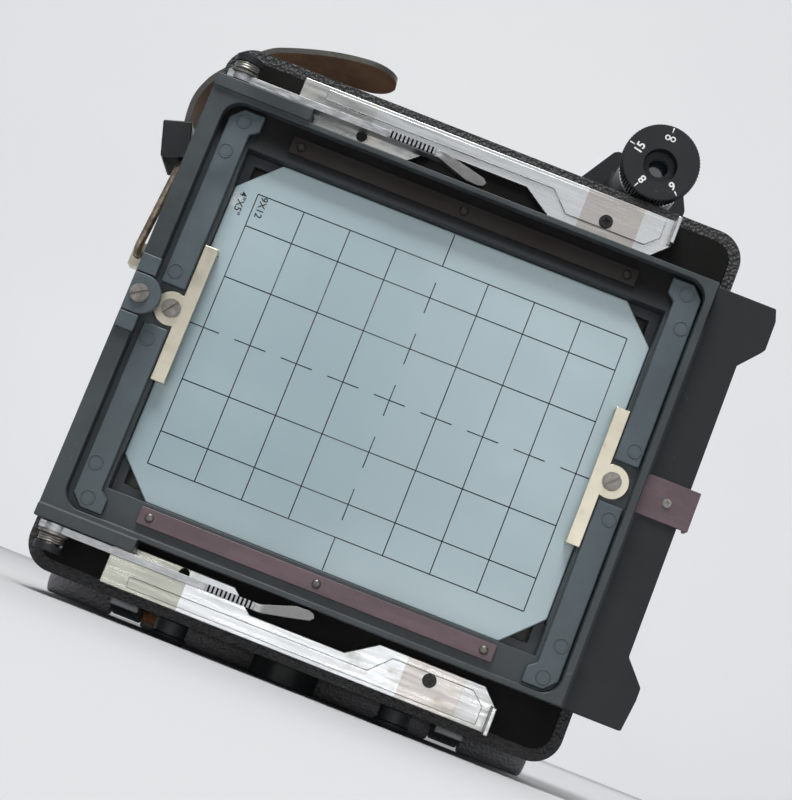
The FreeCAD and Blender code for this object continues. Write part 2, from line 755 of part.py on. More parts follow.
def finder():
    def at(depth, rise="0"):
        return "finder_at", "back_face - 2 + (%s)" % depth, "finder_z + (%s)" % rise

    eye = rod("eye_radius", at("-1", "-eye_drop"), "y", "dial_deep + 2")
    keep(cut(rod("dial_radius", at("0"), "y", "dial_deep"), eye), "finder_dial")
    ring = cut(
        rod("dial_radius - 0.6", at("dial_deep + 0.1"), "y", "5"), rod("eye_radius + 2", at("dial_deep"), "y", "6")
    )
    keep(ring, "finder_ring")
    keep(rod("eye_radius + 2", at("dial_deep + 3"), "y", "1.5"), "eye_lens")
    tube = cut(
        rod("tube_radius + 0.6", at("dial_deep + 5.1"), "y", "3"), rod("tube_radius - 1.5", at("dial_deep + 4"), "y", "5")
    )
    keep(tube, "finder_collar")
    long = "26"
    barrel = rod("tube_radius", at("dial_deep + 8.1"), "y", long)
    hollow = rod("tube_radius - 1.5", at("dial_deep + 7"), "y", long + " + 3")
    flare = cone("tube_radius", "tube_radius + 1.5", at("dial_deep + 8.1 + " + long), "y", "14")
    bore = cone("tube_radius - 1.5", "tube_radius", at("dial_deep + 8 + " + long), "y", "14.5")
    foot = box(
        ("finder_at - 9", "finder_at + 9"),
        ("back_face + 14", "front_face - 22"),
        ("body_top", "body_top + 3"),
    )
    web = box(
        ("finder_at - 3", "finder_at + 3"),
        ("back_face + 18", "front_face - 26"),
        ("body_top + 3", "finder_z - tube_radius + 1"),
    )
    keep(cut(fuse(barrel, flare, foot, web), hollow, bore), "finder_tube")
    deep = "dial_deep + 22.1 + " + long
    start = at(deep)[1]
    def shape(wall, rise):
        left, right = "finder_at - hood_left + " + wall, "finder_at + hood_right - " + wall
        low, top, reach = "finder_z - hood_drop + " + wall, "finder_z + hood_rise - " + wall, "hood_top - " + rise
        return [
            (left, low),
            (right, low),
            (right, "finder_z + 3.7 - " + rise),
            ("finder_at + (%s)" % reach, top),
            ("finder_at - (%s)" % reach, top),
            (left, "finder_z + 1.5 - " + rise),
        ]

    edge, inner = shape("0", "0"), shape("hood_wall", "0.4 * hood_wall")
    frame = plate(edge, start, start + " + hood_deep", "3")
    mouth = plate(inner, start + " + 2", start + " + hood_deep + 1")
    bore = rod("tube_radius", at(deep + " - 1"), "y", "5")
    keep(cut(frame, mouth, bore), "finder_hood")
    pane = plate(inner, start + " + 3", start + " + 4.5")
    keep(pane, "finder_window")


# ---- hand strap ---------------------------------------------------------------------------------------


def band(points, thickness):
    """The closed outline of a bent band, from the points along its outer face."""
    outer = [V(x, z, 0) for x, z in points]
    inner = []
    for n, point in enumerate(outer):
        along = outer[min(n + 1, len(outer) - 1)] - outer[max(n - 1, 0)]
        along.normalize()
        inner.append(point + V(along.y, -along.x, 0) * thickness)
    return outer, inner


def strap():
    """A stiff leather hand strap: held at the left side, its tongue curls over the top corner."""
    half, top, middle = SIZES["body_wide"] / 2, SIZES["body_low"] + SIZES["body_high"], SIZES["strap_mid"]
    route = [
        (-half - 7.02, top - 33.54),
        (-half - 8.52, top - 28.77),
        (-half - 10.31, top - 23.04),
        (-half - 11, top - 14.9),
        (-half - 9.4, top - 8.2),
        (-half - 5.9, top - 2.3),
        (-half + 4.3, top + 8.7),
        (-half + 12.1, top + 13),
        (-half + 28.5, top + 17.7),
        (-half + 47.5, top + 20),
    ]
    outer, inner = band(route, SIZES["strap_thick"])
    edges = []
    for side in (outer, inner):
        curve = Part.BSplineCurve()
        curve.interpolate([V(p.x, 0, p.y) for p in side])
        edges.append(curve.toShape())
    starts = [edge.valueAt(edge.getParameterByLength(0)) for edge in edges]
    finishes = [edge.valueAt(edge.getParameterByLength(edge.Length)) for edge in edges]
    ends = [Part.LineSegment(*pair).toShape() for pair in (starts, finishes)]
    wire = Part.Wire(Part.sortEdges([edges[0], ends[1], edges[1], ends[0]])[0])
    solid = Part.Face(wire).extrude(V(0, SIZES["strap_wide"], 0))
    leather = doc.addObject("Part::Feature", "strap_band")
    leather.Shape = solid
    leather.Placement.Base = V(0, middle - SIZES["strap_wide"] / 2, 0)
    return keep(leather, "hand_strap")


def strap_fittings():
    """The keeper, a leather sleeve that leans outwards at its top, and the eye on the body's side."""
    side, lean = "-body_wide / 2", -17.4
    half = "strap_wide / 2 + 2"
    sleeve = box(("-4.7", "4.7"), ("-(%s)" % half, half), ("-6", "6"))
    room = box(("-3.5", "3.5"), ("-strap_wide / 2 - gap", "strap_wide / 2 + gap"), ("-7", "7"))
    keeper = cut(sleeve, room)
    keeper.Placement.Rotation = FreeCAD.Rotation(V(0, 1, 0), lean)
    place(keeper, (side + " - 9.9", "strap_mid", "body_top - 29.2"))
    keep(keeper, "strap_keeper")
    lug_low = "body_top - 71"
    lug = box((side + " - 10.5", side), ("strap_mid - 4", "strap_mid + 4"), (lug_low, lug_low + " + 8"))
    base = box((side + " - 1.5", side), ("strap_mid - 9", "strap_mid + 9"), (lug_low + " - 3", lug_low + " + 12"))
    eye = rod("wire_radius + gap", (side + " - 8.4", "strap_mid - 6", lug_low + " + 4"), "y", "12")
    keep(cut(fuse(lug, base), eye), "strap_lug")


def strap_loop():
    """A closed wire loop, through the lug's eye at its foot and under the folded strap end at its top."""
    half = SIZES["body_wide"] / 2
    top = SIZES["body_low"] + SIZES["body_high"]
    radius, middle, reach = SIZES["wire_radius"], SIZES["strap_mid"], SIZES["strap_wide"] / 2 - 1.5
    foot = V(-half - 8.4, middle, top - 67)
    head = V(-half - 6, middle, top - 34.61)
    corners = [
        foot + V(0, -reach, 0),
        foot + V(0, reach, 0),
        head + V(0, reach, 0),
        head + V(0, -reach, 0),
    ]
    bend = 3.5
    edges = []
    for n in range(4):
        here, after, before = corners[n], corners[(n + 1) % 4], corners[n - 1]
        leave = here + (after - here).normalize() * bend
        arrive = here + (before - here).normalize() * bend
        centre = arrive + (leave - here)
        mid = centre + (here - centre).normalize() * bend
        edges.append(Part.Arc(arrive, mid, leave).toShape())
        end = after + (here - after).normalize() * bend
        edges.append(Part.LineSegment(leave, end).toShape())
    path = Part.Wire(edges)
    start = edges[1].Vertexes[0].Point
    direction = edges[1].Curve.Direction
    profile = Part.Wire(Part.makeCircle(radius, start, direction))
    loop = doc.addObject("Part::Feature", "loop")
    loop.Shape = Part.Wire(edges[1:] + edges[:1]).makePipeShell([profile], True, False)
    return keep(loop, "strap_loop")


body_shell()
body_cover()
back_plate()
tripod_socket()
base_feet()
body_tracks()
bed_release()
bed()
hinge()
bed_rails()
focusing()
front_standard()
bellows()
panel_frame()
ground_glass()
carrier_pads()
glass_holders()
hood_fittings()
spring_arms()
locking_slides()
finder()
strap()
strap_fittings()
strap_loop()
doc.recompute()

for thing in doc.Objects:
    if "Invalid" in thing.State or "Error" in thing.State:
        raise RuntimeError("%s (%s) did not build: %s" % (thing.Label, thing.TypeId, thing.State))
for thing in PARTS:
    if thing.Shape.isNull() or not thing.Shape.isValid():
        raise RuntimeError(thing.Label + " has no valid shape")
os.makedirs("parts", exist_ok=True)
for thing in PARTS:
    thing.Shape.exportStep("parts/" + thing.Label + ".step")
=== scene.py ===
import json
import math

import bmesh
import bpy
from bpy.props import FloatProperty, FloatVectorProperty, IntProperty, PointerProperty
from mathutils import Matrix, Vector


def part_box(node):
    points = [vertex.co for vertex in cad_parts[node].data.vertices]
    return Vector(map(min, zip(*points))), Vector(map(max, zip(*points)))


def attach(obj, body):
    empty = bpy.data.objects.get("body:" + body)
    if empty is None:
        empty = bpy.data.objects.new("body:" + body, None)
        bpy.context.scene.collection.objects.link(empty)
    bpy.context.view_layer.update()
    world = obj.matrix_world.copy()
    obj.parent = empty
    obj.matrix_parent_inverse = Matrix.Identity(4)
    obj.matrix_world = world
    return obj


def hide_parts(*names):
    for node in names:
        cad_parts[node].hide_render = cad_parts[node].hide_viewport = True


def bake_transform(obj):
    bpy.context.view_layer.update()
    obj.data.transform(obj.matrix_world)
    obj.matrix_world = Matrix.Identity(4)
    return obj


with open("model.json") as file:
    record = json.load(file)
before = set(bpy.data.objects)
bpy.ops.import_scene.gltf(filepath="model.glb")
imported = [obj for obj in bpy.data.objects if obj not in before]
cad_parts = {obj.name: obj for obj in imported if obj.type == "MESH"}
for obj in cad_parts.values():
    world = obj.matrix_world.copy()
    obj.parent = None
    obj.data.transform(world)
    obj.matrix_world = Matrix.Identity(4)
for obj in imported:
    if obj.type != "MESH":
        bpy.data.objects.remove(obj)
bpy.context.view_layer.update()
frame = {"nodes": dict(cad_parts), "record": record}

bl_info = {
    "name": "Folding press camera",
    "version": (1, 0, 0),
    "blender": (4, 5, 0),
    "location": "3D View > Sidebar > Press camera",
    "description": "Finishes a folding large format camera round its working model",
    "category": "Object",
}

MM = 0.001
BODIES = frame["record"]["behaviour"]["bodies"]
BODY_OF = {node: body for body, nodes in BODIES.items() for node in nodes}


# ---- sizes and colours ----------------------------------------------------------------------------


def colour(name, description, value):
    limits = {"subtype": "COLOR", "size": 3, "min": 0, "max": 1}
    return FloatVectorProperty(name=name, description=description, default=value, **limits)


def length(name, description, value):
    limits = {"unit": "LENGTH", "precision": 5}
    return FloatProperty(name=name, description=description, default=value * MM, **limits)


class PRESSCAMERA_PG_colours(bpy.types.PropertyGroup):
    """Base colours of the finishes"""

    leather: colour("Leather", "Pebbled black covering", (0.02, 0.02, 0.021))
    leather_wear: colour("Leather wear", "Tan where the grain has rubbed off", (0.42, 0.17, 0.05))
    enamel: colour("Enamel", "Charcoal enamel of the focusing panel", (0.036, 0.043, 0.047))
    flange: colour("Flange", "Matt black of the holder flange", (0.014, 0.015, 0.017))
    moulding: colour("Moulding", "Grey moulded pads", (0.048, 0.066, 0.075))
    velvet: colour("Back plate", "Crackle black of the back plate", (0.006, 0.006, 0.0055))
    steel: colour("Steel", "Brushed bright steel", (0.64, 0.66, 0.67))
    steel_film: colour("Steel film", "Creamy film on old steel", (0.58, 0.53, 0.43))
    nickel: colour("Nickel", "Warm nickel of the clips", (0.62, 0.58, 0.47))
    screw: colour("Screw", "Darkened screw heads", (0.2, 0.19, 0.175))
    plum: colour("Plum", "Anodised strips", (0.092, 0.064, 0.072))
    screen: colour("Screen", "Ground glass over a dark chamber", (0.285, 0.375, 0.405))
    # Also the colour of the painted light towards the screen's top.
    screen_haze_and_light: colour("Screen haze", "Paler haze on the ground glass", (0.42, 0.52, 0.55))
    grey_metal: colour("Grey metal", "Satin grey rails and knuckles", (0.19, 0.2, 0.21))
    suede: colour("Suede", "Inside of the hand strap", (0.42, 0.22, 0.11))
    ink: colour("Ink", "Ruled lines on the screen", (0.006, 0.007, 0.008))
    paint: colour("Paint", "White of the dial's marks", (0.75, 0.75, 0.72))
    floor: colour("Floor", "Pale studio floor", (0.5, 0.5, 0.51))


class PRESSCAMERA_PG_sizes(bpy.types.PropertyGroup):
    """Sizes of what the working model leaves plain"""

    grid_wide: length("Grid width", "Width of the ruled frame", 120)
    grid_high: length("Grid height", "Height of the ruled frame", 88.1)
    grid_column: length("Column", "Width of a ruled column", 15)
    grid_row: length("Row", "Height of a ruled row", 16.8)
    line: length("Line", "Width of a ruled line", 0.32)
    dash: length("Dash", "Length of a dash of the centre lines", 10)
    knurl: length("Knurl", "Depth of the knurling", 0.45)
    folds: IntProperty(name="Folds", description="Folds of the bellows", default=9, min=3)
    stitch: length("Stitch", "Length of one stitch of the strap", 2.4)
    view_distance: length("View distance", "From the viewer to the screen", 589)
    lens: FloatProperty(name="Lens", description="Focal length of the view in millimetres", default=88.2)


def sizes():
    return bpy.context.scene.press_camera_sizes


def colours():
    return bpy.context.scene.press_camera_colours


# ---- shader building ------------------------------------------------------------------------------


def arithmetic(operation, swapped=False):
    """An operator of Wire that adds a Math node."""

    def act(wire, other):
        pair = (other, wire) if swapped else (wire, other)
        return wire.recipe.node("ShaderNodeMath", {"operation": operation}, dict(enumerate(pair)))(0)

    return act


class Wire:
    """A socket of a finish. Arithmetic on it adds Math nodes."""

    __add__ = arithmetic("ADD")
    __radd__ = arithmetic("ADD", swapped=True)
    __sub__ = arithmetic("SUBTRACT")
    __rsub__ = arithmetic("SUBTRACT", swapped=True)
    __mul__ = arithmetic("MULTIPLY")
    __rmul__ = arithmetic("MULTIPLY", swapped=True)
    __gt__ = arithmetic("GREATER_THAN")
    __lt__ = arithmetic("LESS_THAN")

    def __init__(self, recipe, socket):
        self.recipe = recipe
        self.socket = socket


class Recipe:
    """Builds one material round a Principled shader."""

    def __init__(self, name):
        self.material = bpy.data.materials.new(name)
        self.material.use_nodes = True
        self.tree = self.material.node_tree
        self.shader = self.tree.nodes["Principled BSDF"]
        place = self.tree.nodes.new("ShaderNodeTexCoord")
        self.place = Wire(self, place.outputs["Object"])

    def node(self, kind, settings=None, inputs=None):
        """Adds a node and returns a function that gives its outputs as wires."""
        node = self.tree.nodes.new(kind)
        for key, value in (settings or {}).items():
            setattr(node, key, value)
        for key, value in (inputs or {}).items():
            self.feed(node.inputs[key], value)
        return lambda output: Wire(self, node.outputs[output])

    def feed(self, socket, value):
        if isinstance(value, Wire):
            self.tree.links.new(value.socket, socket)
        elif socket.type == "RGBA":
            socket.default_value = (*value, 1)
        else:
            socket.default_value = value

    def noise(self, scale, detail=4, rough=0.55, stretch=None):
        place = self.stretched(stretch) if stretch else self.place
        inputs = {"Vector": place, "Scale": scale, "Detail": detail, "Roughness": rough}
        return self.node("ShaderNodeTexNoise", None, inputs)("Fac")

    def cells(self, scale, feature="F1"):
        inputs = {"Vector": self.place, "Scale": scale}
        return self.node("ShaderNodeTexVoronoi", {"feature": feature}, inputs)("Distance")

    def vector_maths(self, operation, other):
        return self.node("ShaderNodeVectorMath", {"operation": operation}, {0: self.place, 1: other})

    def stretched(self, factors):
        return self.vector_maths("MULTIPLY", factors)("Vector")

    def axis(self, letter):
        return self.node("ShaderNodeSeparateXYZ", None, {0: self.place})(letter)

    def between(self, value, low, high, start=0.0, end=1.0):
        """Rises smoothly from start to end as the value goes from low to high."""
        inputs = {"Value": value, "From Min": low, "From Max": high, "To Min": start, "To Max": end}
        return self.node("ShaderNodeMapRange", {"interpolation_type": "SMOOTHSTEP"}, inputs)("Result")

    def sheen(self, value, smooth, rough):
        """A roughness that follows a noise."""
        return self.between(value, 0.3, 0.7, smooth, rough)

    def near(self, point, radius):
        """One at a point, fading to nothing at the radius."""
        return self.between(self.vector_maths("DISTANCE", point)("Value"), radius * 0.4, radius, 1, 0)

    def blend(self, mask, first, second):
        """The first colour where the mask is 0 and the second where it is 1."""
        node = self.tree.nodes.new("ShaderNodeMix")
        node.data_type = "RGBA"
        self.feed(node.inputs[0], mask)
        self.feed(node.inputs[6], first)
        self.feed(node.inputs[7], second)
        return Wire(self, node.outputs[2])

    def mottle(self, value, low, high, first, second):
        """Two colours that change over as the value goes from low to high."""
        return self.blend(self.between(value, low, high), first, second)

    def relief(self, height, strength, distance):
        inputs = {"Strength": strength, "Distance": distance, "Height": height}
        self.feed(self.shader.inputs["Normal"], self.node("ShaderNodeBump", None, inputs)("Normal"))

    def finish(self, tint, rough, metal=0.0, **plain):
        """Feeds the shader. The other settings are its sockets' names in lower case."""
        inputs = {"base_color": tint, "roughness": rough, "metallic": metal, **plain}
        for key, value in inputs.items():
            self.feed(self.shader.inputs[key.replace("_", " ").title().replace("Ior", "IOR")], value)
        return self.material


def scaled(tint, factor):
    return tuple(c * factor for c in tint)


def two_tone(name, wear, turn, tints, relief, rough, metal=0.0):
    """A finish of two mottled tones. Wear and the start of relief are settings of Recipe.noise,
    and turn is where the wear passes from one tone to the other."""
    look = Recipe(name)
    worn = look.noise(*wear)
    if relief:
        bumps, strength, distance = relief
        look.relief(look.noise(*bumps) if bumps else worn, strength, distance)
    return look.finish(look.mottle(worn, *turn, *tints), look.sheen(worn, *rough), metal)


def pebbled_leather():
    return leather("pebbled_leather", 1)


# Painted light: the barrel's leather is made fourteen times paler, partly dusty grey and partly painted light
# standing in for light under the body.
def dust_and_painted_light_leather():
    return leather("dust_and_painted_light_leather", 14)


def leather(name, dust):
    """Pebbled leather, rubbed tan at one knuckle; its base colour is multiplied by dust, which for the bed's
    barrel is fourteen: partly dusty grey and partly painted light for the light that doesn't reach it under
    the body.
    """
    look, tint = Recipe(name), colours()
    grain = look.cells(950) * 0.75 + look.noise(2600, 3) * 0.35
    soft = look.noise(24, 5)
    rub = Vector((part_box("hinge_knuckles")[0].x + 0.0125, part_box("bed_barrel")[0].y, 0.005))
    worn = look.near(rub, 0.006) * look.between(look.noise(420, 6, 0.7), 0.38, 0.5)
    dusty = look.between(look.noise(60, 6, 0.65), 0.55, 0.8) * 0.5
    dark = look.blend(dusty, scaled(tint.leather, dust), tuple(0.05 + 2 * c for c in tint.leather))
    base = look.blend(worn, dark, tint.leather_wear)
    look.relief(grain, 1.0, 0.0009)
    return look.finish(base, look.sheen(soft, 0.4, 0.58), specular_ior_level=0.5)


def panel_enamel():
    look, tint = Recipe("panel_enamel"), colours()
    rim_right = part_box("carrier_pads")[1].x + 0.004
    on_flange = look.between(look.axis("X"), rim_right - 0.0005, rim_right + 0.0005)
    smudge = look.noise(38, 6, 0.62)
    rubbed = look.between(look.noise(210, 6, 0.7), 0.66, 0.74) * 0.55
    base = look.mottle(smudge, 0.35, 0.7, tint.enamel, scaled(tint.enamel, 1.45))
    base = look.blend(on_flange, base, tint.flange)
    base = look.blend(rubbed, base, (0.12, 0.125, 0.13))
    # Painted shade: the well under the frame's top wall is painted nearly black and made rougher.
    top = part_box("panel_frame")[1].z
    painted_recess_shade = look.between(look.axis("Z"), top - 0.022, top - 0.012)
    painted_recess_shade = painted_recess_shade * (look.axis("Y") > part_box("carrier_pads")[0].y + 0.0012) * (1 - on_flange)
    base = look.blend(painted_recess_shade, base, (0.003, 0.003, 0.003))
    look.relief(look.noise(3400, 2) * 0.6 + look.noise(700, 3) * 0.5, 0.22, 0.0002)
    rough = look.sheen(smudge, 0.34, 0.5) + on_flange * 0.1 + painted_recess_shade * 0.4
    return look.finish(base, rough, specular_ior_level=0.3)


def moulded_grey():
    grey = colours().moulding
    tones, relief = (grey, scaled(grey, 1.35)), ((2200, 3), 0.16, 0.0002)
    return two_tone("moulded_grey", (70, 5), (0.35, 0.7), tones, relief, (0.36, 0.52))


def crackle_black():
    look, tint = Recipe("crackle_black"), colours()
    crackle = look.cells(1400, "DISTANCE_TO_EDGE") + look.noise(900, 4) * 0.4
    base = look.mottle(look.noise(90, 6, 0.7), 0.55, 0.8, tint.velvet, (0.015, 0.015, 0.014))
    look.relief(crackle, 0.6, 0.00025)
    return look.finish(base, look.sheen(look.noise(50), 0.7, 0.85), specular_ior_level=0.12)


def black_enamel():
    look, tint = Recipe("black_enamel"), colours()
    rubbed = look.between(look.noise(330, 6, 0.7), 0.64, 0.72) * 0.5
    base = look.blend(rubbed, tint.flange, (0.1, 0.1, 0.1))
    look.relief(look.noise(2600, 3), 0.25, 0.00015)
    return look.finish(base, look.sheen(look.noise(80), 0.34, 0.5), specular_ior_level=0.3)


def brushed_steel():
    """Steel that is filmed at one end and bare round the keepers' screws, with painted shadow over both
    slides' left ends and painted shade on the lower slide's right part.
    """
    look, tint = Recipe("brushed_steel"), colours()
    brush = look.noise(900, 3, 0.6, (0.06, 1, 1))
    film = look.between(look.noise(46, 6, 0.68), 0.52, 0.7) * 0.7
    speck = look.between(look.noise(900, 4, 0.7), 0.68, 0.76) * 0.6
    low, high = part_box("keeper_screws")
    along = look.axis("X")
    patch = (along > low.x - 0.006) * (along < high.x + 0.008) * 0.7
    rise = look.axis("Z")
    lower = rise < (low.z + high.z) / 2
    # Painted shadow over both slides' left ends, deeper on the lower slide, and painted shade over the lower
    # slide's right part.
    shade = (along < low.x - 0.075) * (0.3 + lower * 0.5)
    painted_lower_shade = lower * (along > low.x + 0.012) * 0.55
    base = look.mottle(brush, 0.3, 0.7, scaled(tint.steel, 0.86), tint.steel)
    layers = (
        (patch, (0.40, 0.355, 0.325)),
        (shade, (0.3, 0.3, 0.24)),
        (painted_lower_shade, (0.34, 0.34, 0.33)),
        (film, tint.steel_film),
        (speck, (0.2, 0.17, 0.14)),
    )
    for mask, over in layers:
        base = look.blend(mask, base, over)
    look.relief(brush, 0.12, 0.0002)
    return look.finish(base, look.sheen(brush, 0.24, 0.4) + film * 0.2, 0.92 - film * 0.35)


def plain_steel():
    steel = colours().steel
    tones, relief = (steel, scaled(steel, 0.75)), ((2600, 3), 0.12, 0.0002)
    return two_tone("plain_steel", (160, 6, 0.65), (0.4, 0.75), tones, relief, (0.26, 0.42), 0.95)


def worn_arm():
    look, tint = Recipe("worn_arm"), colours()
    brush = look.noise(1500, 3, 0.6, (0.2, 1, 1))
    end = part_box("upper_arm")[1].x
    tip = look.between(look.axis("X"), end - 0.0165, end - 0.0145)
    base = look.mottle(brush, 0.35, 0.7, scaled(tint.steel, 0.5), scaled(tint.steel, 0.78))
    base = look.blend(tip * 0.8, base, (0.16, 0.155, 0.15))
    look.relief(brush, 0.25, 0.0003)
    return look.finish(base, look.sheen(brush, 0.34, 0.5), 0.85)


def warm_nickel():
    look, tint = Recipe("warm_nickel"), colours()
    wear = look.noise(180, 6, 0.65)
    brush = look.noise(1300, 3, 0.6, (1, 1, 0.08))
    base = look.blend(look.between(wear, 0.5, 0.8) * 0.5, tint.nickel, scaled(tint.nickel, 0.7))
    look.relief(brush, 0.1, 0.0002)
    return look.finish(base, look.sheen(wear, 0.28, 0.4), 0.9)


def old_brass():
    tones, relief = ((0.46, 0.4, 0.3), (0.14, 0.11, 0.08)), ((1800, 3), 0.15, 0.0002)
    return two_tone("old_brass", (240, 6, 0.7), (0.35, 0.65), tones, relief, (0.3, 0.5), 0.85)


def dark_screw():
    dark = colours().screw
    tones, relief = (dark, scaled(dark, 1.7)), (None, 0.15, 0.0002)
    return two_tone("dark_screw", (500, 5, 0.65), (0.4, 0.75), tones, relief, (0.28, 0.5), 0.9)


def dark_rivet():
    look, tint = Recipe("dark_rivet"), colours()
    wear = look.noise(500, 5, 0.65)
    base = look.mottle(wear, 0.35, 0.7, scaled(tint.screw, 0.5), tint.screw)
    # Painted shade: the rivets along the top strip, under the top wall, are painted nearly black and made
    # rougher.
    upper = look.axis("Z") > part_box("strip_rivets")[1].z - 0.01
    base = look.blend(upper * 0.85, base, (0.01, 0.009, 0.008))
    look.relief(wear, 0.1, 0.0002)
    return look.finish(base, look.sheen(wear, 0.3, 0.5) + upper * 0.2, 0.8)


def plum_anodised():
    look, tint = Recipe("plum_anodised"), colours()
    smear = look.noise(120, 6, 0.65, (0.35, 1, 1))
    base = look.mottle(smear, 0.35, 0.7, tint.plum, scaled(tint.plum, 1.5))
    # Painted shade: the strip under the top wall is painted nearly black, rougher and less metallic.
    painted_top_shade = look.axis("Z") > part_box("glass_strips")[1].z - 0.01
    base = look.blend(painted_top_shade * 0.93, base, (0.006, 0.0045, 0.0035))
    look.relief(look.noise(2400, 2), 0.08, 0.0002)
    rough = look.sheen(smear, 0.34, 0.5) + painted_top_shade * 0.4
    return look.finish(base, rough, 0.2 - painted_top_shade * 0.2, specular_ior_level=0.35)


def screen_glass():
    """Ground glass: hazy and paler towards the top with painted light, with faint streaks of painted
    reflection and a chip near its top left corner.
    """
    look, tint = Recipe("screen_glass"), colours()
    haze = look.noise(9, 4, 0.5, (1, 1, 1.4))
    fold = look.noise(16, 3, 0.45, (0.45, 1, 1.3))
    low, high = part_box("ground_glass")
    # Painted light: the glass is paler towards its top.
    painted_light_to_top = look.between(look.axis("Z"), low.z, high.z, 0.0, 0.35)
    base = look.blend(look.between(haze, 0.35, 0.7) * 0.6 + painted_light_to_top, tint.screen, tint.screen_haze_and_light)
    # Painted reflection: faint pale streaks across the glass.
    painted_reflection_streak = look.between(fold, 0.56, 0.62) * look.between(fold, 0.62, 0.7, 1, 0) * 0.35
    base = look.blend(painted_reflection_streak, base, (0.5, 0.56, 0.58))
    chip = look.near(Vector((low.x + 1.2 * MM, low.y, high.z - 15 * MM)), 3.4 * MM)
    chip = chip * look.between(look.noise(700, 6, 0.75), 0.4, 0.55)
    base = look.blend(chip * 0.8, base, (0.62, 0.66, 0.66))
    look.relief(look.noise(5200, 2), 0.05, 0.0001)
    gloss = {"specular_ior_level": 0.55, "coat_weight": 0.35, "coat_roughness": 0.06}
    return look.finish(base, look.sheen(haze, 0.16, 0.26), **gloss)


def clear_glass():
    look = Recipe("clear_glass")
    dust = look.between(look.noise(300, 6, 0.7), 0.6, 0.75) * 0.2
    base = look.blend(dust, (0.02, 0.03, 0.04), (0.3, 0.3, 0.32))
    return look.finish(base, 0.04 + dust, 0.0, coat_weight=1.0, coat_roughness=0.02)


def grey_metal():
    grey = colours().grey_metal
    tones, relief = (grey, scaled(grey, 1.6)), ((1900, 3), 0.15, 0.0002)
    return two_tone("grey_metal", (200, 6, 0.65), (0.4, 0.7), tones, relief, (0.32, 0.5), 0.8)


def black_wood():
    tones, fibre = ((0.012, 0.011, 0.01), (0.035, 0.028, 0.022)), (220, 5, 0.6, (1, 1, 0.06))
    return two_tone("black_wood", fibre, (0.3, 0.7), tones, (None, 0.3, 0.0003), (0.4, 0.6))


def bellows_cloth():
    look = Recipe("bellows_cloth")
    weave = look.noise(2400, 2) * 0.6 + look.noise(300, 4) * 0.4
    base = look.mottle(look.noise(60), 0.4, 0.7, (0.012, 0.012, 0.013), (0.03, 0.03, 0.031))
    look.relief(weave, 0.4, 0.0003)
    return look.finish(base, look.sheen(weave, 0.6, 0.8))


def strap_outside():
    look, tint = Recipe("strap_outside"), colours()
    crease = look.noise(130, 6, 0.7, (1, 0.35, 1))
    worn = look.between(look.noise(240, 7, 0.72), 0.62, 0.78) * 0.35
    base = look.blend(worn, (0.05, 0.047, 0.04), tint.suede)
    look.relief(crease * 0.8 + look.cells(900) * 0.3, 0.5, 0.0005)
    return look.finish(base, look.sheen(crease, 0.4, 0.62))


def strap_inside():
    look, tint = Recipe("strap_inside"), colours()
    nap = look.noise(900, 6, 0.75)
    stain = look.between(look.noise(45, 6, 0.65), 0.35, 0.7)
    base = look.blend(stain, tint.suede, scaled(tint.suede, 0.5))
    look.relief(nap, 0.5, 0.0004)
    return look.finish(base, look.sheen(nap, 0.7, 0.9))


def thread():
    tones = (0.03, 0.026, 0.022), (0.07, 0.06, 0.05)
    return two_tone("thread", (2600, 3), (0.35, 0.65), tones, None, (0.6, 0.8))


def ruling_ink():
    look, tint = Recipe("ruling_ink"), colours()
    worn = look.between(look.noise(700, 4), 0.6, 0.8) * 0.2
    return look.finish(look.blend(worn, tint.ink, tint.screen), 0.4 + worn)


def dial_paint():
    look, tint = Recipe("dial_paint"), colours()
    worn = look.between(look.noise(1500, 4), 0.5, 0.8)
    return look.finish(look.blend(worn, tint.paint, scaled(tint.paint, 0.8)), 0.5 + worn * 0.2)


def studio_floor():
    look, tint = Recipe("studio_floor"), colours()
    cloudy = look.between(look.noise(1.6, 3), 0.3, 0.7) * 0.06
    return look.finish(look.blend(cloudy, tint.floor, (1, 1, 1)), 0.9 - cloudy)


def studio_backdrop():
    look, tint = Recipe("studio_backdrop"), colours()
    cloudy = look.between(look.noise(1.1, 3), 0.3, 0.7)
    glow = look.blend(cloudy, (0.86, 0.885, 0.91), (0.95, 0.96, 0.97))
    return look.finish(tint.floor, 0.9 + cloudy * 0.05, emission_color=glow, emission_strength=0.52)


MADE = {}


def material(maker):
    """Each finish is made once."""
    if maker.__name__ not in MADE:
        MADE[maker.__name__] = maker()
    return MADE[maker.__name__]


# ---- mesh building --------------------------------------------------------------------------------


def piece(name, mesh, *finishes, body=None, node=None, smooth=math.radians(40)):
    """Links a mesh as a finished piece that rides on a body and may stand for a working node."""
    data = bpy.data.meshes.new(name)
    mesh.to_mesh(data)
    mesh.free()
    thing = bpy.data.objects.new(name, data)
    bpy.context.scene.collection.objects.link(thing)
    for maker in finishes:
        data.materials.append(material(maker))
    data.shade_smooth()
    if smooth:
        data.set_sharp_from_angle(angle=smooth)
    if node:
        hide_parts(node)
    if body or node:
        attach(thing, body or BODY_OF[node])
    return thing


def soften(thing, width, segments=2, angle=math.radians(32)):
    """Rounds the piece's sharp edges a little."""
    bevel = thing.modifiers.new("eased_edges", "BEVEL")
    bevel.width = width
    bevel.segments = segments
    bevel.limit_method = "ANGLE"
    bevel.angle_limit = angle
    bevel.harden_normals = False
    weighted = thing.modifiers.new("even_shading", "WEIGHTED_NORMAL")
    weighted.keep_sharp = False
    return thing


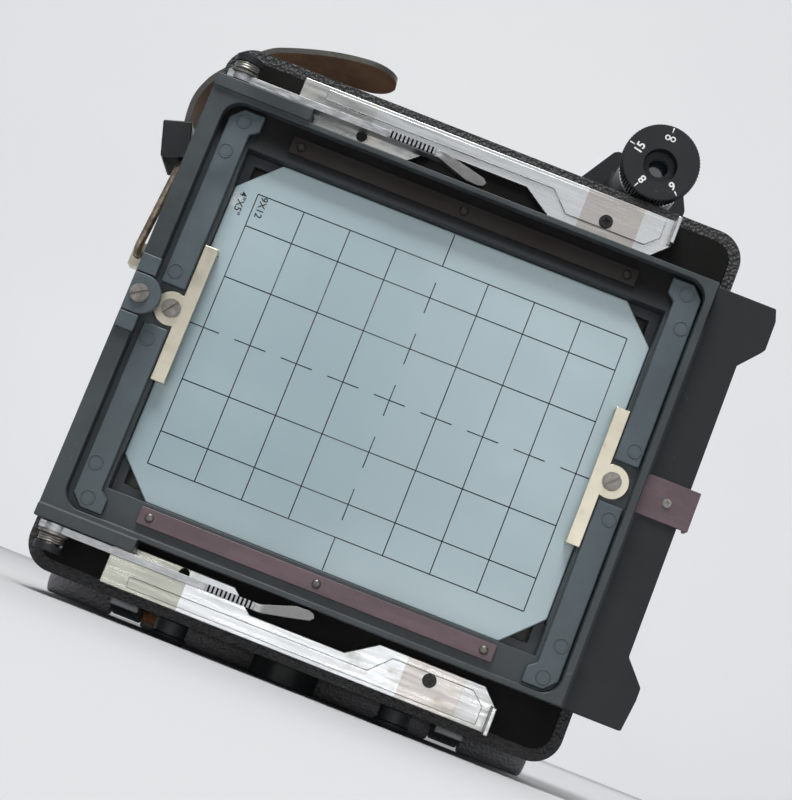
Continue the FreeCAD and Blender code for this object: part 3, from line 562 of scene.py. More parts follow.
def eased(node, maker, width=0.3):
    """A copy of a working node with its edges eased, in place of it."""
    mesh = bmesh.new()
    mesh.from_mesh(frame["nodes"][node].data)
    bmesh.ops.remove_doubles(mesh, verts=mesh.verts, dist=1e-6)
    bmesh.ops.dissolve_limit(mesh, angle_limit=math.radians(0.8), verts=mesh.verts, edges=mesh.edges)
    return soften(piece(node + "_eased", mesh, maker, node=node, smooth=None), width * MM)


AXES = {
    "x": Matrix(((0, 0, 1), (1, 0, 0), (0, 1, 0))),
    "y": Matrix(((1, 0, 0), (0, 0, 1), (0, -1, 0))),
    "z": Matrix.Identity(3),
}


def lathe(mesh, rows, at, axis="y", around=64):
    """Adds a turned form: rows of (distance along the axis, radius, depth of knurling)."""
    turn, at = AXES[axis], Vector(at)
    rings = []
    for along, radius, knurl in rows:
        if radius == 0:
            rings.append([mesh.verts.new(at + turn @ Vector((0, 0, along)))])
            continue
        ring = []
        for n in range(around):
            angle = math.tau * n / around
            reach = radius - (knurl if n % 2 else 0)
            point = Vector((reach * math.cos(angle), reach * math.sin(angle), along))
            ring.append(mesh.verts.new(at + turn @ point))
        rings.append(ring)
    for low, high in zip(rings, rings[1:]):
        for n in range(around):
            m = (n + 1) % around
            if len(low) == 1:
                mesh.faces.new((low[0], high[m], high[n]))
            elif len(high) == 1:
                mesh.faces.new((low[n], low[m], high[0]))
            else:
                mesh.faces.new((low[n], low[m], high[m], high[n]))
    for ring in (rings[0], rings[-1]):
        if len(ring) > 1 and rings[0][0].co != rings[-1][0].co:
            mesh.faces.new(ring)
    bmesh.ops.recalc_face_normals(mesh, faces=mesh.faces)
    return mesh


def ring_rows(inner, outer, start, end, knurl=0.0, ease=0.3 * MM):
    """Rows of a tube with eased corners, closed on itself."""
    return [
        (start + ease, inner, 0),
        (start, inner + ease, 0),
        (start, outer - ease - knurl, 0),
        (start + ease, outer, knurl),
        (end - ease, outer, knurl),
        (end, outer - ease - knurl, 0),
        (end, inner + ease, 0),
        (end - ease, inner, 0),
        (start + ease, inner, 0),
    ]


def tube(mesh, *args, at, axis="y", around=64, **more):
    """A closed tube between two radii."""
    start = len(mesh.verts)
    lathe(mesh, ring_rows(*args, **more), at, axis, around)
    mesh.verts.ensure_lookup_table()
    bmesh.ops.remove_doubles(mesh, verts=mesh.verts[start:], dist=1e-7)
    return mesh


def knurled_ring(node, box, finish, inner, around):
    """A tube with a knurled rim in place of a working ring that lies along Y."""
    low, high = box
    centre = (low + high) / 2
    at, radius = (centre.x, low.y, centre.z), (high.x - low.x) / 2
    mesh = tube(
        bmesh.new(), inner(radius), radius, 0, high.y - low.y, at=at, around=around, knurl=sizes().knurl
    )
    piece(node + "_knurled", mesh, finish, node=node)


def brick(mesh, low, high):
    """Adds a block between two corners."""
    low, high = Vector(low), Vector(high)
    made = bmesh.ops.create_cube(mesh, size=1)["verts"]
    bmesh.ops.scale(mesh, vec=high - low, verts=made)
    bmesh.ops.translate(mesh, vec=(low + high) / 2, verts=made)
    return made


def bar(mesh, start, end, wide, thick, normal):
    """Adds a thin bar between two points on a face with the given normal."""
    start, end, normal = Vector(start), Vector(end), Vector(normal).normalized()
    across = (end - start).cross(normal).normalized() * wide / 2
    corners = [start - across, end - across, end + across, start + across]
    low = [mesh.verts.new(c) for c in corners]
    high = [mesh.verts.new(c + normal * thick) for c in corners]
    mesh.faces.new(low)
    mesh.faces.new(high[::-1])
    for n in range(4):
        m = (n + 1) % 4
        mesh.faces.new((low[n], high[n], high[m], low[m]))
    bmesh.ops.recalc_face_normals(mesh, faces=mesh.faces)


def cut_plate(mesh, outlines, thick, to_world):
    """Adds a flat plate from closed outlines; an outline inside another is a hole."""
    curve = bpy.data.curves.new("outline", "CURVE")
    curve.dimensions = "2D"
    curve.fill_mode = "BOTH"
    curve.extrude = thick / 2
    for outline in outlines:
        spline = curve.splines.new("POLY")
        spline.points.add(len(outline) - 1)
        for point, (x, y) in zip(spline.points, outline):
            point.co = (x, y, 0, 1)
        spline.use_cyclic_u = True
    carrier = bpy.data.objects.new("outline", curve)
    flat = bpy.data.meshes.new_from_object(carrier)
    flat.transform(to_world)
    mesh.from_mesh(flat)
    bmesh.ops.remove_doubles(mesh, verts=mesh.verts, dist=1e-7)
    bpy.data.objects.remove(carrier)
    bpy.data.curves.remove(curve)
    bpy.data.meshes.remove(flat)
    return mesh


def circle(radius, centre=(0, 0), count=48, start=0.0, sweep=math.tau):
    angles = [start + sweep * n / count for n in range(count)]
    return [(centre[0] + radius * math.cos(a), centre[1] + radius * math.sin(a)) for a in angles]


def facing_back(point):
    """Puts a flat plate's face towards the viewer, at a point."""
    turn = Matrix(((1, 0, 0, 0), (0, 0, -1, 0), (0, 1, 0, 0), (0, 0, 0, 1)))
    return Matrix.Translation(Vector(point)) @ turn


def slotted_head(mesh, centre, radius, high, tilt):
    """Adds a cheese-headed screw seen from behind the camera, with a straight slot."""
    centre, base = Vector(centre), 0.25
    outline = [(0, 0), (0, radius * 0.9), (high * 0.2, radius), (high * base, radius), (high * base, 0)]
    lathe(mesh, [(-along, reach, 0) for along, reach in outline], centre)
    begin = math.asin(0.16)
    for side in (0, math.pi):
        arc = circle(radius, (0, 0), 25, tilt + side + begin, math.pi - 2 * begin + 0.13)
        inner = [(x * 0.86, y * 0.86) for x, y in arc]
        for rim, depth in ((arc, 0.72), (inner, 1.0)):
            middle = centre - Vector((0, high * (base + depth) / 2, 0))
            cut_plate(mesh, [rim], high * (depth - base), facing_back(middle))


def cross_head(mesh, centre, radius, high):
    """Adds a cross-recessed screw head seen from behind the camera."""
    centre, base = Vector(centre), 0.1
    arm, half = radius * 0.52, radius * 0.14
    cross = []
    for n in range(4):
        a = math.radians(90 * n + 20)
        along, side = Vector((math.cos(a), math.sin(a))), Vector((-math.sin(a), math.cos(a)))
        cross += [along * half - side * half, along * arm - side * half, along * arm + side * half]
    lathe(mesh, [(0, 0, 0), (0, radius, 0), (-high * base, radius, 0), (-high * base, 0, 0)], centre)
    for reach, depth in ((0.97, 0.75), (0.84, 1.0)):
        plan = [circle(radius * reach), [tuple(p) for p in cross]]
        at = centre - Vector((0, high * (base + depth) / 2, 0))
        cut_plate(mesh, plan, high * (depth - base), facing_back(at))


def solids(node):
    """The centre, size and two corners of each separate solid of a working node, left to right."""
    mesh = bmesh.new()
    mesh.from_mesh(frame["nodes"][node].data)
    bmesh.ops.remove_doubles(mesh, verts=mesh.verts, dist=1e-6)
    left, found = set(mesh.verts), []
    while left:
        stack, seen = [left.pop()], []
        while stack:
            vert = stack.pop()
            seen.append(vert.co.copy())
            for edge in vert.link_edges:
                other = edge.other_vert(vert)
                if other in left:
                    left.remove(other)
                    stack.append(other)
        low = Vector(min(c[k] for c in seen) for k in range(3))
        high = Vector(max(c[k] for c in seen) for k in range(3))
        found.append(((low + high) / 2, high - low, low, high))
    mesh.free()
    return sorted(found, key=lambda f: (round(f[0].x, 4), round(f[0].z, 4)))


def lettering(mesh, text, size, at, turn, thick=0.03 * MM, bold=0.022):
    """Adds a line of generic characters, facing the viewer and turned in that plane."""
    curve = bpy.data.curves.new("letters", "FONT")
    curve.body = text
    curve.size = size
    curve.align_x = "CENTER"
    curve.align_y = "CENTER"
    curve.extrude = thick
    curve.offset = bold * size
    carrier = bpy.data.objects.new("letters", curve)
    flat = bpy.data.meshes.new_from_object(carrier)
    flat.transform(facing_back(at) @ Matrix.Rotation(turn, 4, "Z"))
    mesh.from_mesh(flat)
    bpy.data.objects.remove(carrier)
    bpy.data.curves.remove(curve)
    bpy.data.meshes.remove(flat)


def helix(mesh, at, radius, wire, start, end, turns, axis="z", around=8, steps=16):
    """Adds a coil spring of round wire."""
    turn, at = AXES[axis], Vector(at)
    count = int(turns * steps)
    rings = []
    for n in range(count + 1):
        angle = math.tau * n / steps
        rise = start + (end - start) * n / count
        out = Vector((math.cos(angle), math.sin(angle), 0))
        ring = []
        for m in range(around):
            b = math.tau * m / around
            point = out * (radius + wire * math.cos(b)) + Vector((0, 0, rise + wire * math.sin(b)))
            ring.append(mesh.verts.new(at + turn @ point))
        rings.append(ring)
    for low, high in zip(rings, rings[1:]):
        for m in range(around):
            k = (m + 1) % around
            mesh.faces.new((low[m], low[k], high[k], high[m]))
    mesh.faces.new(rings[0])
    mesh.faces.new(rings[-1][::-1])
    bmesh.ops.recalc_face_normals(mesh, faces=mesh.faces)


# ---- operators ------------------------------------------------------------------------------------


class Maker:
    """Shared by the operators below. Each eases its plain nodes, then makes its own pieces."""

    bl_options = {"REGISTER", "UNDO"}
    PLAIN = ()

    def execute(self, context):
        for node, finish, width in self.PLAIN:
            eased(node, finish, width)
        self.make()
        return {"FINISHED"}

    def make(self):
        """Nothing more where the plain nodes are all."""


# Name, place, what it faces (None is the screen), width and height in metres, power in watts.
LIGHTS = (
    ("key", (-0.25, -0.52, 1.12), None, (0.5, 0.5), 15.5),
    ("card", (0.24, -1.5, 0.36), None, (0.55, 0.7), 1.25),
    ("front", (0.3, 1.0, 0.8), None, (0.9, 0.9), 6),
    ("low", (0, -0.9, 0.02), (0, 0.03, 0.008), (1.2, 0.03), 1.2),
)
SKY, SKY_STRENGTH = (0.93, 0.96, 1.0, 1), 0.24
FLOOR_HALF = 6
BACKDROP_HALF, BACKDROP_HIGH, BACKDROP_AT = 2.6, 2.6, 1.5
# The view's forward and downward directions, and the point it aims at from the screen's middle.
AHEAD = Vector((-0.0146, 0.9905, 0.1367)).normalized()
DOWN = Vector((0.3658, 0.1325, -0.9212))
AIM = Vector((1.8 * MM, 0, 1.0 * MM))


class PRESSCAMERA_OT_stage(Maker, bpy.types.Operator):
    """Lays the floor, hangs the soft lights and sets up the view"""

    bl_idname = "press_camera.stage"
    bl_label = "Stage"

    def make(self):
        mesh = bmesh.new()
        bmesh.ops.create_grid(mesh, x_segments=8, y_segments=8, size=FLOOR_HALF)
        piece("studio_floor", mesh, studio_floor, smooth=None)
        self.backdrop()
        low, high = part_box("ground_glass")
        screen = (low + high) / 2
        for name, at, target, size, power in LIGHTS:
            self.light(name, at, target or screen, size, power)
        world = bpy.data.worlds.new("studio")
        bpy.context.scene.world = world
        world.use_nodes = True
        sky = world.node_tree.nodes["Background"]
        sky.inputs["Color"].default_value = SKY
        sky.inputs["Strength"].default_value = SKY_STRENGTH
        bpy.context.scene.view_settings.view_transform = "Standard"
        self.viewer(screen)

    def backdrop(self):
        """A tall pale sheet in front of the lens, past the edge of what the view shows."""
        mesh = bmesh.new()
        bmesh.ops.create_grid(mesh, x_segments=12, y_segments=2, size=1)
        for vert in mesh.verts:
            rise = (vert.co.y + 1) * BACKDROP_HIGH / 2
            vert.co = (vert.co.x * BACKDROP_HALF, BACKDROP_AT, rise)
        piece("studio_backdrop", mesh, studio_backdrop, smooth=None)

    def light(self, name, at, target, size, power):
        data = bpy.data.lights.new(name + "_light", "AREA")
        data.shape = "RECTANGLE"
        data.size, data.size_y = size
        data.energy = power
        lamp = bpy.data.objects.new(name + "_light", data)
        lamp.location = at
        lamp.rotation_euler = (Vector(target) - Vector(at)).to_track_quat("-Z", "Y").to_euler()
        bpy.context.scene.collection.objects.link(lamp)

    def viewer(self, screen):
        """The view: from a little below the screen's middle, with the camera rolled to the left."""
        data = bpy.data.cameras.new("view")
        data.lens = sizes().lens
        data.sensor_width = 36
        data.clip_start = 0.01
        eye = bpy.data.objects.new("view", data)
        up = -(DOWN - AHEAD * DOWN.dot(AHEAD)).normalized()
        turn = Matrix((AHEAD.cross(up), up, -AHEAD)).transposed().to_4x4()
        eye.matrix_world = Matrix.Translation(screen + AIM - AHEAD * sizes().view_distance) @ turn
        bpy.context.scene.collection.objects.link(eye)
        bpy.context.scene.camera = eye


class PRESSCAMERA_OT_box(Maker, bpy.types.Operator):
    """Finishes the leather-covered box, its back plate and its feet"""

    bl_idname = "press_camera.box"
    bl_label = "Box"
    PLAIN = (
        ("body_leather", pebbled_leather, 0.7),
        ("body_shell", black_wood, 0.4),
        ("back_plate", crackle_black, 0.25),
        ("tripod_socket", black_enamel, 0.5),
        ("base_feet", black_enamel, 0.6),
        ("body_tracks", grey_metal, 0.3),
        ("release_collar", black_enamel, 0.2),
        ("release_button", plain_steel, 0.5),
        ("bellows_frame", black_wood, 0.3),
    )


class PRESSCAMERA_OT_bed(Maker, bpy.types.Operator):
    """Finishes the drop bed, its hinge, rails and focusing track"""

    bl_idname = "press_camera.bed"
    bl_label = "Drop bed"
    PLAIN = (
        ("bed_board", black_wood, 0.6),
        ("bed_leather", pebbled_leather, 0.25),
        # The barrel's leather carries painted light under the body.
        ("bed_barrel", dust_and_painted_light_leather, 0.8),
        ("hinge_pin", plain_steel, 0.2),
        ("hinge_knuckles", grey_metal, 0.6),
        ("bed_rails", grey_metal, 0.3),
        ("focus_bearings", grey_metal, 0.3),
        ("focus_shaft", plain_steel, 0.2),
    )

    def make(self):
        self.rack()
        self.knobs()

    def rack(self):
        """The track with its two racks' teeth."""
        eased("focus_track", grey_metal, 0.2)
        low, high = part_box("focus_track")
        mesh = bmesh.new()
        pitch, half, proud, sunk = 1.6 * MM, 1.2 * MM, 0.08 * MM, 0.3 * MM
        for side in (low.x + 1.5 * MM, high.x - 1.5 * MM):
            for n in range(int((high.z - low.z) / pitch) - 1):
                at = low.z + pitch * (n + 0.75)
                corner = side + half, low.y + sunk, at + pitch / 2
                brick(mesh, (side - half, low.y - proud, at), corner)
        piece("rack_teeth", mesh, plain_steel, body=BODY_OF["focus_track"])

    def knobs(self):
        mesh = bmesh.new()
        for centre, size, low, high in solids("focus_knobs"):
            rows = [
                (0, 0, 0),
                (0, 5.6 * MM, 0),
                (0.8 * MM, 6 * MM, 0),
                (1.2 * MM, size.z / 2 - 0.5 * MM, 0),
                (1.6 * MM, size.z / 2, sizes().knurl),
                (size.x - 1.6 * MM, size.z / 2, sizes().knurl),
                (size.x - 1 * MM, size.z / 2 - 0.6 * MM, 0),
                (size.x - 0.8 * MM, 4.5 * MM, 0),
                (size.x, 3.5 * MM, 0),
                (size.x, 0, 0),
            ]
            lathe(mesh, rows, (low.x, centre.y, centre.z), "x", 96)
        piece("focus_knobs_knurled", mesh, plain_steel, node="focus_knobs")


class PRESSCAMERA_OT_panel(Maker, bpy.types.Operator):
    """Finishes the focusing panel, its mouldings and fittings"""

    bl_idname = "press_camera.panel"
    bl_label = "Focusing panel"
    PLAIN = (
        ("panel_frame", panel_enamel, 0.45),
        ("carrier_pads", moulded_grey, 0.5),
        ("glass_strips", plum_anodised, 0.25),
        ("glass_clips", warm_nickel, 0.22),
        ("hood_catch", plum_anodised, 0.3),
        ("hood_lug", moulded_grey, 0.4),
    )

    def make(self):
        self.ejector_marks()
        self.heads()

    def ejector_marks(self):
        """The moulding's round ejector marks, one near each end of each pad."""
        mesh = bmesh.new()
        radius, groove = 2.3 * MM, 0.7 * MM
        disc = [(0.1 * MM, 0, 0), (0.05 * MM, radius - groove, 0), (0.25 * MM, radius - groove, 0)]
        panel_low, panel_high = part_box("panel_frame")
        for centre, size, low, high in solids("carrier_pads"):
            outward = 1 if centre.x > 0 else -1
            upper = centre.z > (panel_low.z + panel_high.z) / 2
            foot, root = (high.z, low.z) if upper else (low.z, high.z)
            turn = 1 if upper else -1
            inner = low.x if outward > 0 else high.x
            spots = [
                (inner + outward * 5.6 * MM, foot - turn * 3.6 * MM),
                (inner + outward * 7.4 * MM, foot - turn * 14 * MM),
                (inner + outward * 7.4 * MM, root + turn * 4.4 * MM),
            ]
            for x, z in spots:
                rim = (x, low.y - 0.22 * MM, z)
                tube(mesh, radius - 0.4 * MM, radius, 0, 0.4 * MM, at=rim, ease=0.1 * MM)
                lathe(mesh, disc + [(0.25 * MM, 0, 0)], (x, low.y - 0.12 * MM, z), around=40)
        piece("ejector_marks", mesh, moulded_grey, body="focusing_panel")

    def heads(self):
        """Slotted, round and riveted heads. Each slot has its own angle."""
        slots = ("clip_screws", "clip_screw_heads", (0.95, 0.75)), ("lug_screw", "lug_screw_head", (0.55,))
        for node, name, tilts in slots:
            mesh = bmesh.new()
            for (centre, size, low, high), tilt in zip(solids(node), tilts):
                slotted_head(mesh, (centre.x, high.y, centre.z), size.x / 2, size.y, tilt)
            piece(name, mesh, dark_screw, node=node)
        mesh = bmesh.new()
        centre, size, low, high = solids("catch_screw")[0]
        cross_head(mesh, (centre.x, high.y, centre.z), size.x / 2, size.y)
        piece("catch_screw_head", mesh, dark_screw, node="catch_screw")
        mesh = bmesh.new()
        for centre, size, low, high in solids("strip_rivets"):
            radius = size.x / 2
            dome = [(-size.y * math.sin(a), radius * math.cos(a), 0) for a in (0, 0.35, 0.7, 1.05, 1.35)]
            lathe(mesh, [(0, 0, 0), *dome, (-size.y, 0, 0)], (centre.x, high.y, centre.z), around=28)
        piece("strip_rivet_domes", mesh, dark_rivet, node="strip_rivets", smooth=None)


class PRESSCAMERA_OT_screen(Maker, bpy.types.Operator):
    """Grinds the screen and rules its grid"""

    bl_idname = "press_camera.screen"
    bl_label = "Ground glass"

    def make(self):
        eased("ground_glass", screen_glass, 0.5)
        low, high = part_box("ground_glass")
        self.face, self.middle = low.y - 0.015 * MM, (low + high) / 2
        self.mesh = bmesh.new()
        size = sizes()
        wide, tall = size.grid_wide / 2, size.grid_high / 2
        columns = round(size.grid_wide / size.grid_column)
        for n in range(columns + 1):
            x = -wide + n * size.grid_column
            if abs(x) > size.line:
                self.rule((x, -tall), (x, tall))
        for z in [-tall, tall] + [n * size.grid_row for n in (-2, -1, 1, 2)]:
            self.rule((-wide, z), (wide, z))
        end, dash = (high.z - low.z) / 2 - 0.6 * MM, size.dash / 2
        self.rule((0, tall), (0, end))
        self.rule((0, -tall), (0, -end))
        for n in range(-2, 3):
            self.rule((0, n * size.grid_row - dash), (0, n * size.grid_row + dash))
        for n in range(columns + 1):
            x = -wide + n * size.grid_column
            self.rule((x - dash, 0), (x + dash, 0))
        letter = 3.1 * MM
        self.write("9X12", letter, -wide + 2.3 * MM, tall - 3.6 * MM)
        self.write("4\"X5\"", letter, -wide - 4.2 * MM, tall - 4.6 * MM)
        piece("screen_ruling", self.mesh, ruling_ink, body="focusing_panel", smooth=None)

    def rule(self, start, end):
        points = [(self.middle.x + x, self.face, self.middle.z + z) for x, z in (start, end)]
        bar(self.mesh, *points, sizes().line, 0.02 * MM, (0, -1, 0))

    def write(self, text, size, x, z):
        at = self.middle.x + x, self.face, self.middle.z + z
        lettering(self.mesh, text, size, at, -math.pi / 2, 0.01 * MM, 0.012)


class PRESSCAMERA_OT_locks(Maker, bpy.types.Operator):
    """Finishes the spring arms, their pivots and the locking slides"""

    bl_idname = "press_camera.locks"
    bl_label = "Arms and slides"

    def make(self):
        for name in ("upper", "lower"):
            eased(name + "_arm", worn_arm, 0.35)
            eased(name + "_slide", brushed_steel, 0.3)
            self.serrations(name)
            self.hole(name)
        eased("slide_keepers", brushed_steel, 0.25)
        eased("arm_pivots", dark_screw, 0.3)
        self.pivots()
        mesh = bmesh.new()
        for centre, size, low, high in solids("keeper_screws"):
            cross_head(mesh, (centre.x, high.y, centre.z), size.x / 2, size.y)
        piece("keeper_screw_heads", mesh, black_enamel, node="keeper_screws")

    def hole(self, name):
        """The dark hole near the slide's pivot end."""
        low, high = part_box(name + "_slide")
        inner = low.z + 1.9 * MM if name == "upper" else high.z - 1.9 * MM
        face, radius, thick = high.y - 1.46 * MM, 1.7 * MM, 0.05 * MM
        rows = [(0, 0, 0), (0, radius, 0), (thick, radius, 0), (thick, 0, 0)]
        mesh = lathe(bmesh.new(), rows, (low.x + 22.5 * MM, face, inner), around=32)
        piece(name + "_slide_hole", mesh, crackle_black, body=name + "_slide")

    def serrations(self, name):
        """The finger grip filed into the arm's rear edge."""
        low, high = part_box(name + "_arm")
        outer = high.z if name == "upper" else low.z
        inward = -1 if name == "upper" else 1
        mesh, bed = bmesh.new(), bmesh.new()
        ribs, pitch, start = 12, 1.3 * MM, low.x + 52 * MM
        near, far = sorted((outer + inward * 0.02 * MM, outer + inward * 2.18 * MM))
        end = start + (ribs - 0.45) * pitch
        # Painted shade: a black bar behind the ribs darkens the gaps between them.
        brick(bed, (start, low.y - 0.04 * MM, near), (end, low.y + 0.3 * MM, far))
        piece(name + "_arm_painted_groove_shade", bed, crackle_black, body=name + "_arm", smooth=None)
        near, far = sorted((outer, outer + inward * 2.2 * MM))
        for n in range(ribs):
            x = start + n * pitch
            brick(mesh, (x, low.y - 0.6 * MM, near), (x + pitch * 0.62, low.y + 0.4 * MM, far))
        grip = piece(name + "_arm_grip", mesh, worn_arm, body=name + "_arm", smooth=None)
        soften(grip, 0.12 * MM, 1)

    def pivots(self):
        """Washers, a coil spring and a cap on each pivot."""
        steel, black = bmesh.new(), bmesh.new()
        middle = sum(corner.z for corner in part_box("body_shell")) / 2
        for centre, size, low, high in solids("arm_bushes"):
            upward = 1 if centre.z > middle else -1
            radius, tall = size.x / 2, size.z
            base = low.z if upward > 0 else high.z
            at = (centre.x, centre.y, base)

            def span(start, end):
                return sorted((upward * start * tall, upward * end * tall))

            bore = 2.05 * MM
            tube(steel, bore, radius, *span(0, 0.14), at=at, axis="z", ease=0.1 * MM)
            tube(black, bore, radius * 0.94, *span(0.62, 1.0), at=at, axis="z", ease=0.25 * MM)
            start, end = span(0.2, 0.58)
            helix(steel, at, radius * 0.78, 0.42 * MM, start, end, 3)
        piece("arm_spring_coils", steel, dark_screw, node="arm_bushes")
        piece("arm_spring_caps", black, black_enamel, body="focusing_panel")


class PRESSCAMERA_OT_finder(Maker, bpy.types.Operator):
    """Finishes the tube finder and its parallax dial"""

    bl_idname = "press_camera.finder"
    bl_label = "Finder"
    PLAIN = (
        ("finder_tube", black_enamel, 0.6),
        ("finder_hood", black_enamel, 0.6),
        ("finder_window", clear_glass, 0.2),
        ("finder_collar", plain_steel, 0.3),
        ("eye_lens", clear_glass, 0.2),
    )

    def make(self):
        knurled_ring("finder_ring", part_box("finder_ring"), black_enamel, lambda radius: radius - 4 * MM, 132)
        self.dial()

    def dial(self):
        low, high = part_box("finder_dial")
        centre, radius, deep = (low + high) / 2, (high.x - low.x) / 2, high.y - low.y
        face, hole, drop = radius - 0.55 * MM, 5.3 * MM, 1.1 * MM
        rim = {"at": (centre.x, low.y, centre.z), "knurl": sizes().knurl, "ease": 0.35 * MM}
        mesh = tube(bmesh.new(), face - 0.05 * MM, radius, 0.25 * MM, deep, around=144, **rim)
        plan = [circle(face, count=96), circle(hole, (0, -drop), 64)]
        cut_plate(mesh, plan, deep - 0.3 * MM, facing_back(centre))
        eye = (centre.x, low.y + 3.6 * MM, centre.z - drop)
        tube(mesh, hole - 2.4 * MM, hole + 0.02 * MM, 0, deep - 4 * MM, at=eye, ease=0.2 * MM)
        piece("finder_dial_knurled", mesh, black_enamel, node="finder_dial")
        marks = bmesh.new()
        front = low.y + 0.14 * MM
        for text, angle in (("", 90), ("15", 167), ("8", 243), ("6", 314)):
            a = math.radians(angle)
            out = Vector((math.cos(a), 0, math.sin(a)))
            at = Vector((centre.x, front, centre.z)) + out * 8.0 * MM
            if text:
                lettering(marks, text, 3.6 * MM, at, a - math.pi / 2)
            else:
                for side in (-1, 1):
                    spot = at + Vector((side * 0.86 * MM, -0.03 * MM, 0))
                    tube(marks, 0.48 * MM, 0.88 * MM, 0, 0.1 * MM, at=spot, around=28, ease=0.03 * MM)
            start = Vector((centre.x, front, centre.z)) + out * 9.9 * MM
            bar(marks, start, start + out * 1.6 * MM, 0.4 * MM, 0.05 * MM, (0, -1, 0))
        piece("dial_marks", marks, dial_paint, body="finder_dial", smooth=None)


# Points along the strap's outer face in millimetres, from the body's left top edge.
STRAP_BENDS = (
    (-7.0, -33.5),
    (-8.5, -28.8),
    (-10.3, -23.0),
    (-11.0, -14.9),
    (-9.4, -8.2),
    (-5.9, -2.3),
    (4.3, 8.7),
    (12.1, 13.0),
    (28.5, 17.7),
    (47.5, 20.0),
)
STRAP_ROWS, STRAP_COLUMNS = 90, 12
TIP_EASE = 1.25  # over 1, so that the rows are closest at the rounded tip
TIP_BLUNT = 0.25 * MM
STRAP_THICK = 1.9 * MM
CUP, TWIST, TWIST_FROM = 0.3 * MM, 2.8 * MM, 0.55


def left_of(n):
    """The share of the strap's length that is left at a row."""
    return (1 - n / STRAP_ROWS) ** TIP_EASE


def sunk(across, left):
    """How far the strap's face lies inside its route, from -1 to 1 across it: cupped, and twisted
    more and more towards the tip."""
    return CUP * across * across + TWIST * max(0, TWIST_FROM - left) * (across + 1)


class PRESSCAMERA_OT_strap(Maker, bpy.types.Operator):
    """Cuts and stitches the hand strap and eases its keeper, lug and wire loop"""

    bl_idname = "press_camera.strap"
    bl_label = "Hand strap"

    def sample(self, points):
        """Rows along a smooth curve through the points, and the curve's length."""
        curve = []
        padded = [points[0] * 2 - points[1], *points, points[-1] * 2 - points[-2]]
        for a, b, c, d in zip(padded, padded[1:], padded[2:], padded[3:]):
            for k in range(24):
                t = k / 24
                bend = (2 * a - 5 * b + 4 * c - d) * t**2 + (3 * b - a - 3 * c + d) * t**3
                curve.append(0.5 * (2 * b + (c - a) * t + bend))
        curve.append(points[-1])
        gone = [0]
        for a, b in zip(curve, curve[1:]):
            gone.append(gone[-1] + (b - a).length)
        along, k = [], 0
        for n in range(STRAP_ROWS + 1):
            want = gone[-1] * (1 - left_of(n))
            while k < len(gone) - 2 and gone[k + 1] < want:
                k += 1
            share = (want - gone[k]) / max(gone[k + 1] - gone[k], 1e-9)
            along.append(curve[k].lerp(curve[k + 1], min(1, share)))
        return along, gone[-1]

    def make(self):
        low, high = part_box("body_leather")
        route = [Vector((low.x + x * MM, 0, high.z + z * MM)) for x, z in STRAP_BENDS]
        along, total = self.sample(route)
        low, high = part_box("hand_strap")
        half, middle = (high.y - low.y) / 2, (high.y + low.y) / 2
        mesh, rows = bmesh.new(), []
        for n, point in enumerate(along):
            left = total * left_of(n) + TIP_BLUNT
            wide = half if left > half else half * math.sqrt(1 - (1 - left / half) ** 2)
            step = (along[min(n + 1, STRAP_ROWS)] - along[max(n - 1, 0)]).normalized()
            inward = Vector((step.z, 0, -step.x))
            row = []
            for m in range(STRAP_COLUMNS + 1):
                v = (2 * m / STRAP_COLUMNS - 1) * wide / half
                at = point + inward * sunk(v, left / total) + Vector((0, middle + v * half, 0))
                row.append(mesh.verts.new(at))
            rows.append(row)
        for a, b in zip(rows, rows[1:]):
            for m in range(STRAP_COLUMNS):
                mesh.faces.new((a[m], b[m], b[m + 1], a[m + 1]))
        bmesh.ops.recalc_face_normals(mesh, faces=mesh.faces)
        normal = rows[STRAP_ROWS // 2][STRAP_COLUMNS // 2].link_faces[0].normal
        if normal.dot(along[STRAP_ROWS // 2] - Vector((0, 0, low.z))) < 0:
            bmesh.ops.reverse_faces(mesh, faces=mesh.faces)
        sides = strap_outside, strap_inside
        band = piece("hand_strap_leather", mesh, *sides, node="hand_strap", smooth=None)
        solid = band.modifiers.new("thickness", "SOLIDIFY")
        solid.thickness = STRAP_THICK
        solid.offset = -1
        solid.material_offset = 1
        soften(band, 0.3 * MM)
        self.stitches(along, half, middle)
        eased("strap_keeper", black_enamel, 0.9)
        eased("strap_lug", warm_nickel, 0.4)
        eased("strap_loop", old_brass, 0.05)

    def stitches(self, along, half, middle):
        """Two rows of stitches on the outer face."""
        mesh = bmesh.new()
        inset = half - 2.2 * MM
        long, wide, proud, bedded = sizes().stitch * 0.7, 0.45 * MM, 0.2 * MM, 0.05 * MM
        for n in range(3, len(along) - 14, 3):
            run = (along[n + 2] - along[n]).normalized()
            outward = Vector((-run.z, 0, run.x))
            for side in (-1, 1):
                sink = sunk(side * inset / half, left_of(n)) + bedded
                start = along[n] + Vector((0, middle + side * inset, 0)) - outward * sink
                bar(mesh, start, start + run * long, wide, proud, outward)
        thing = piece("strap_stitches", mesh, thread, body=BODY_OF["hand_strap"], smooth=None)
        soften(thing, 0.1 * MM, 1)


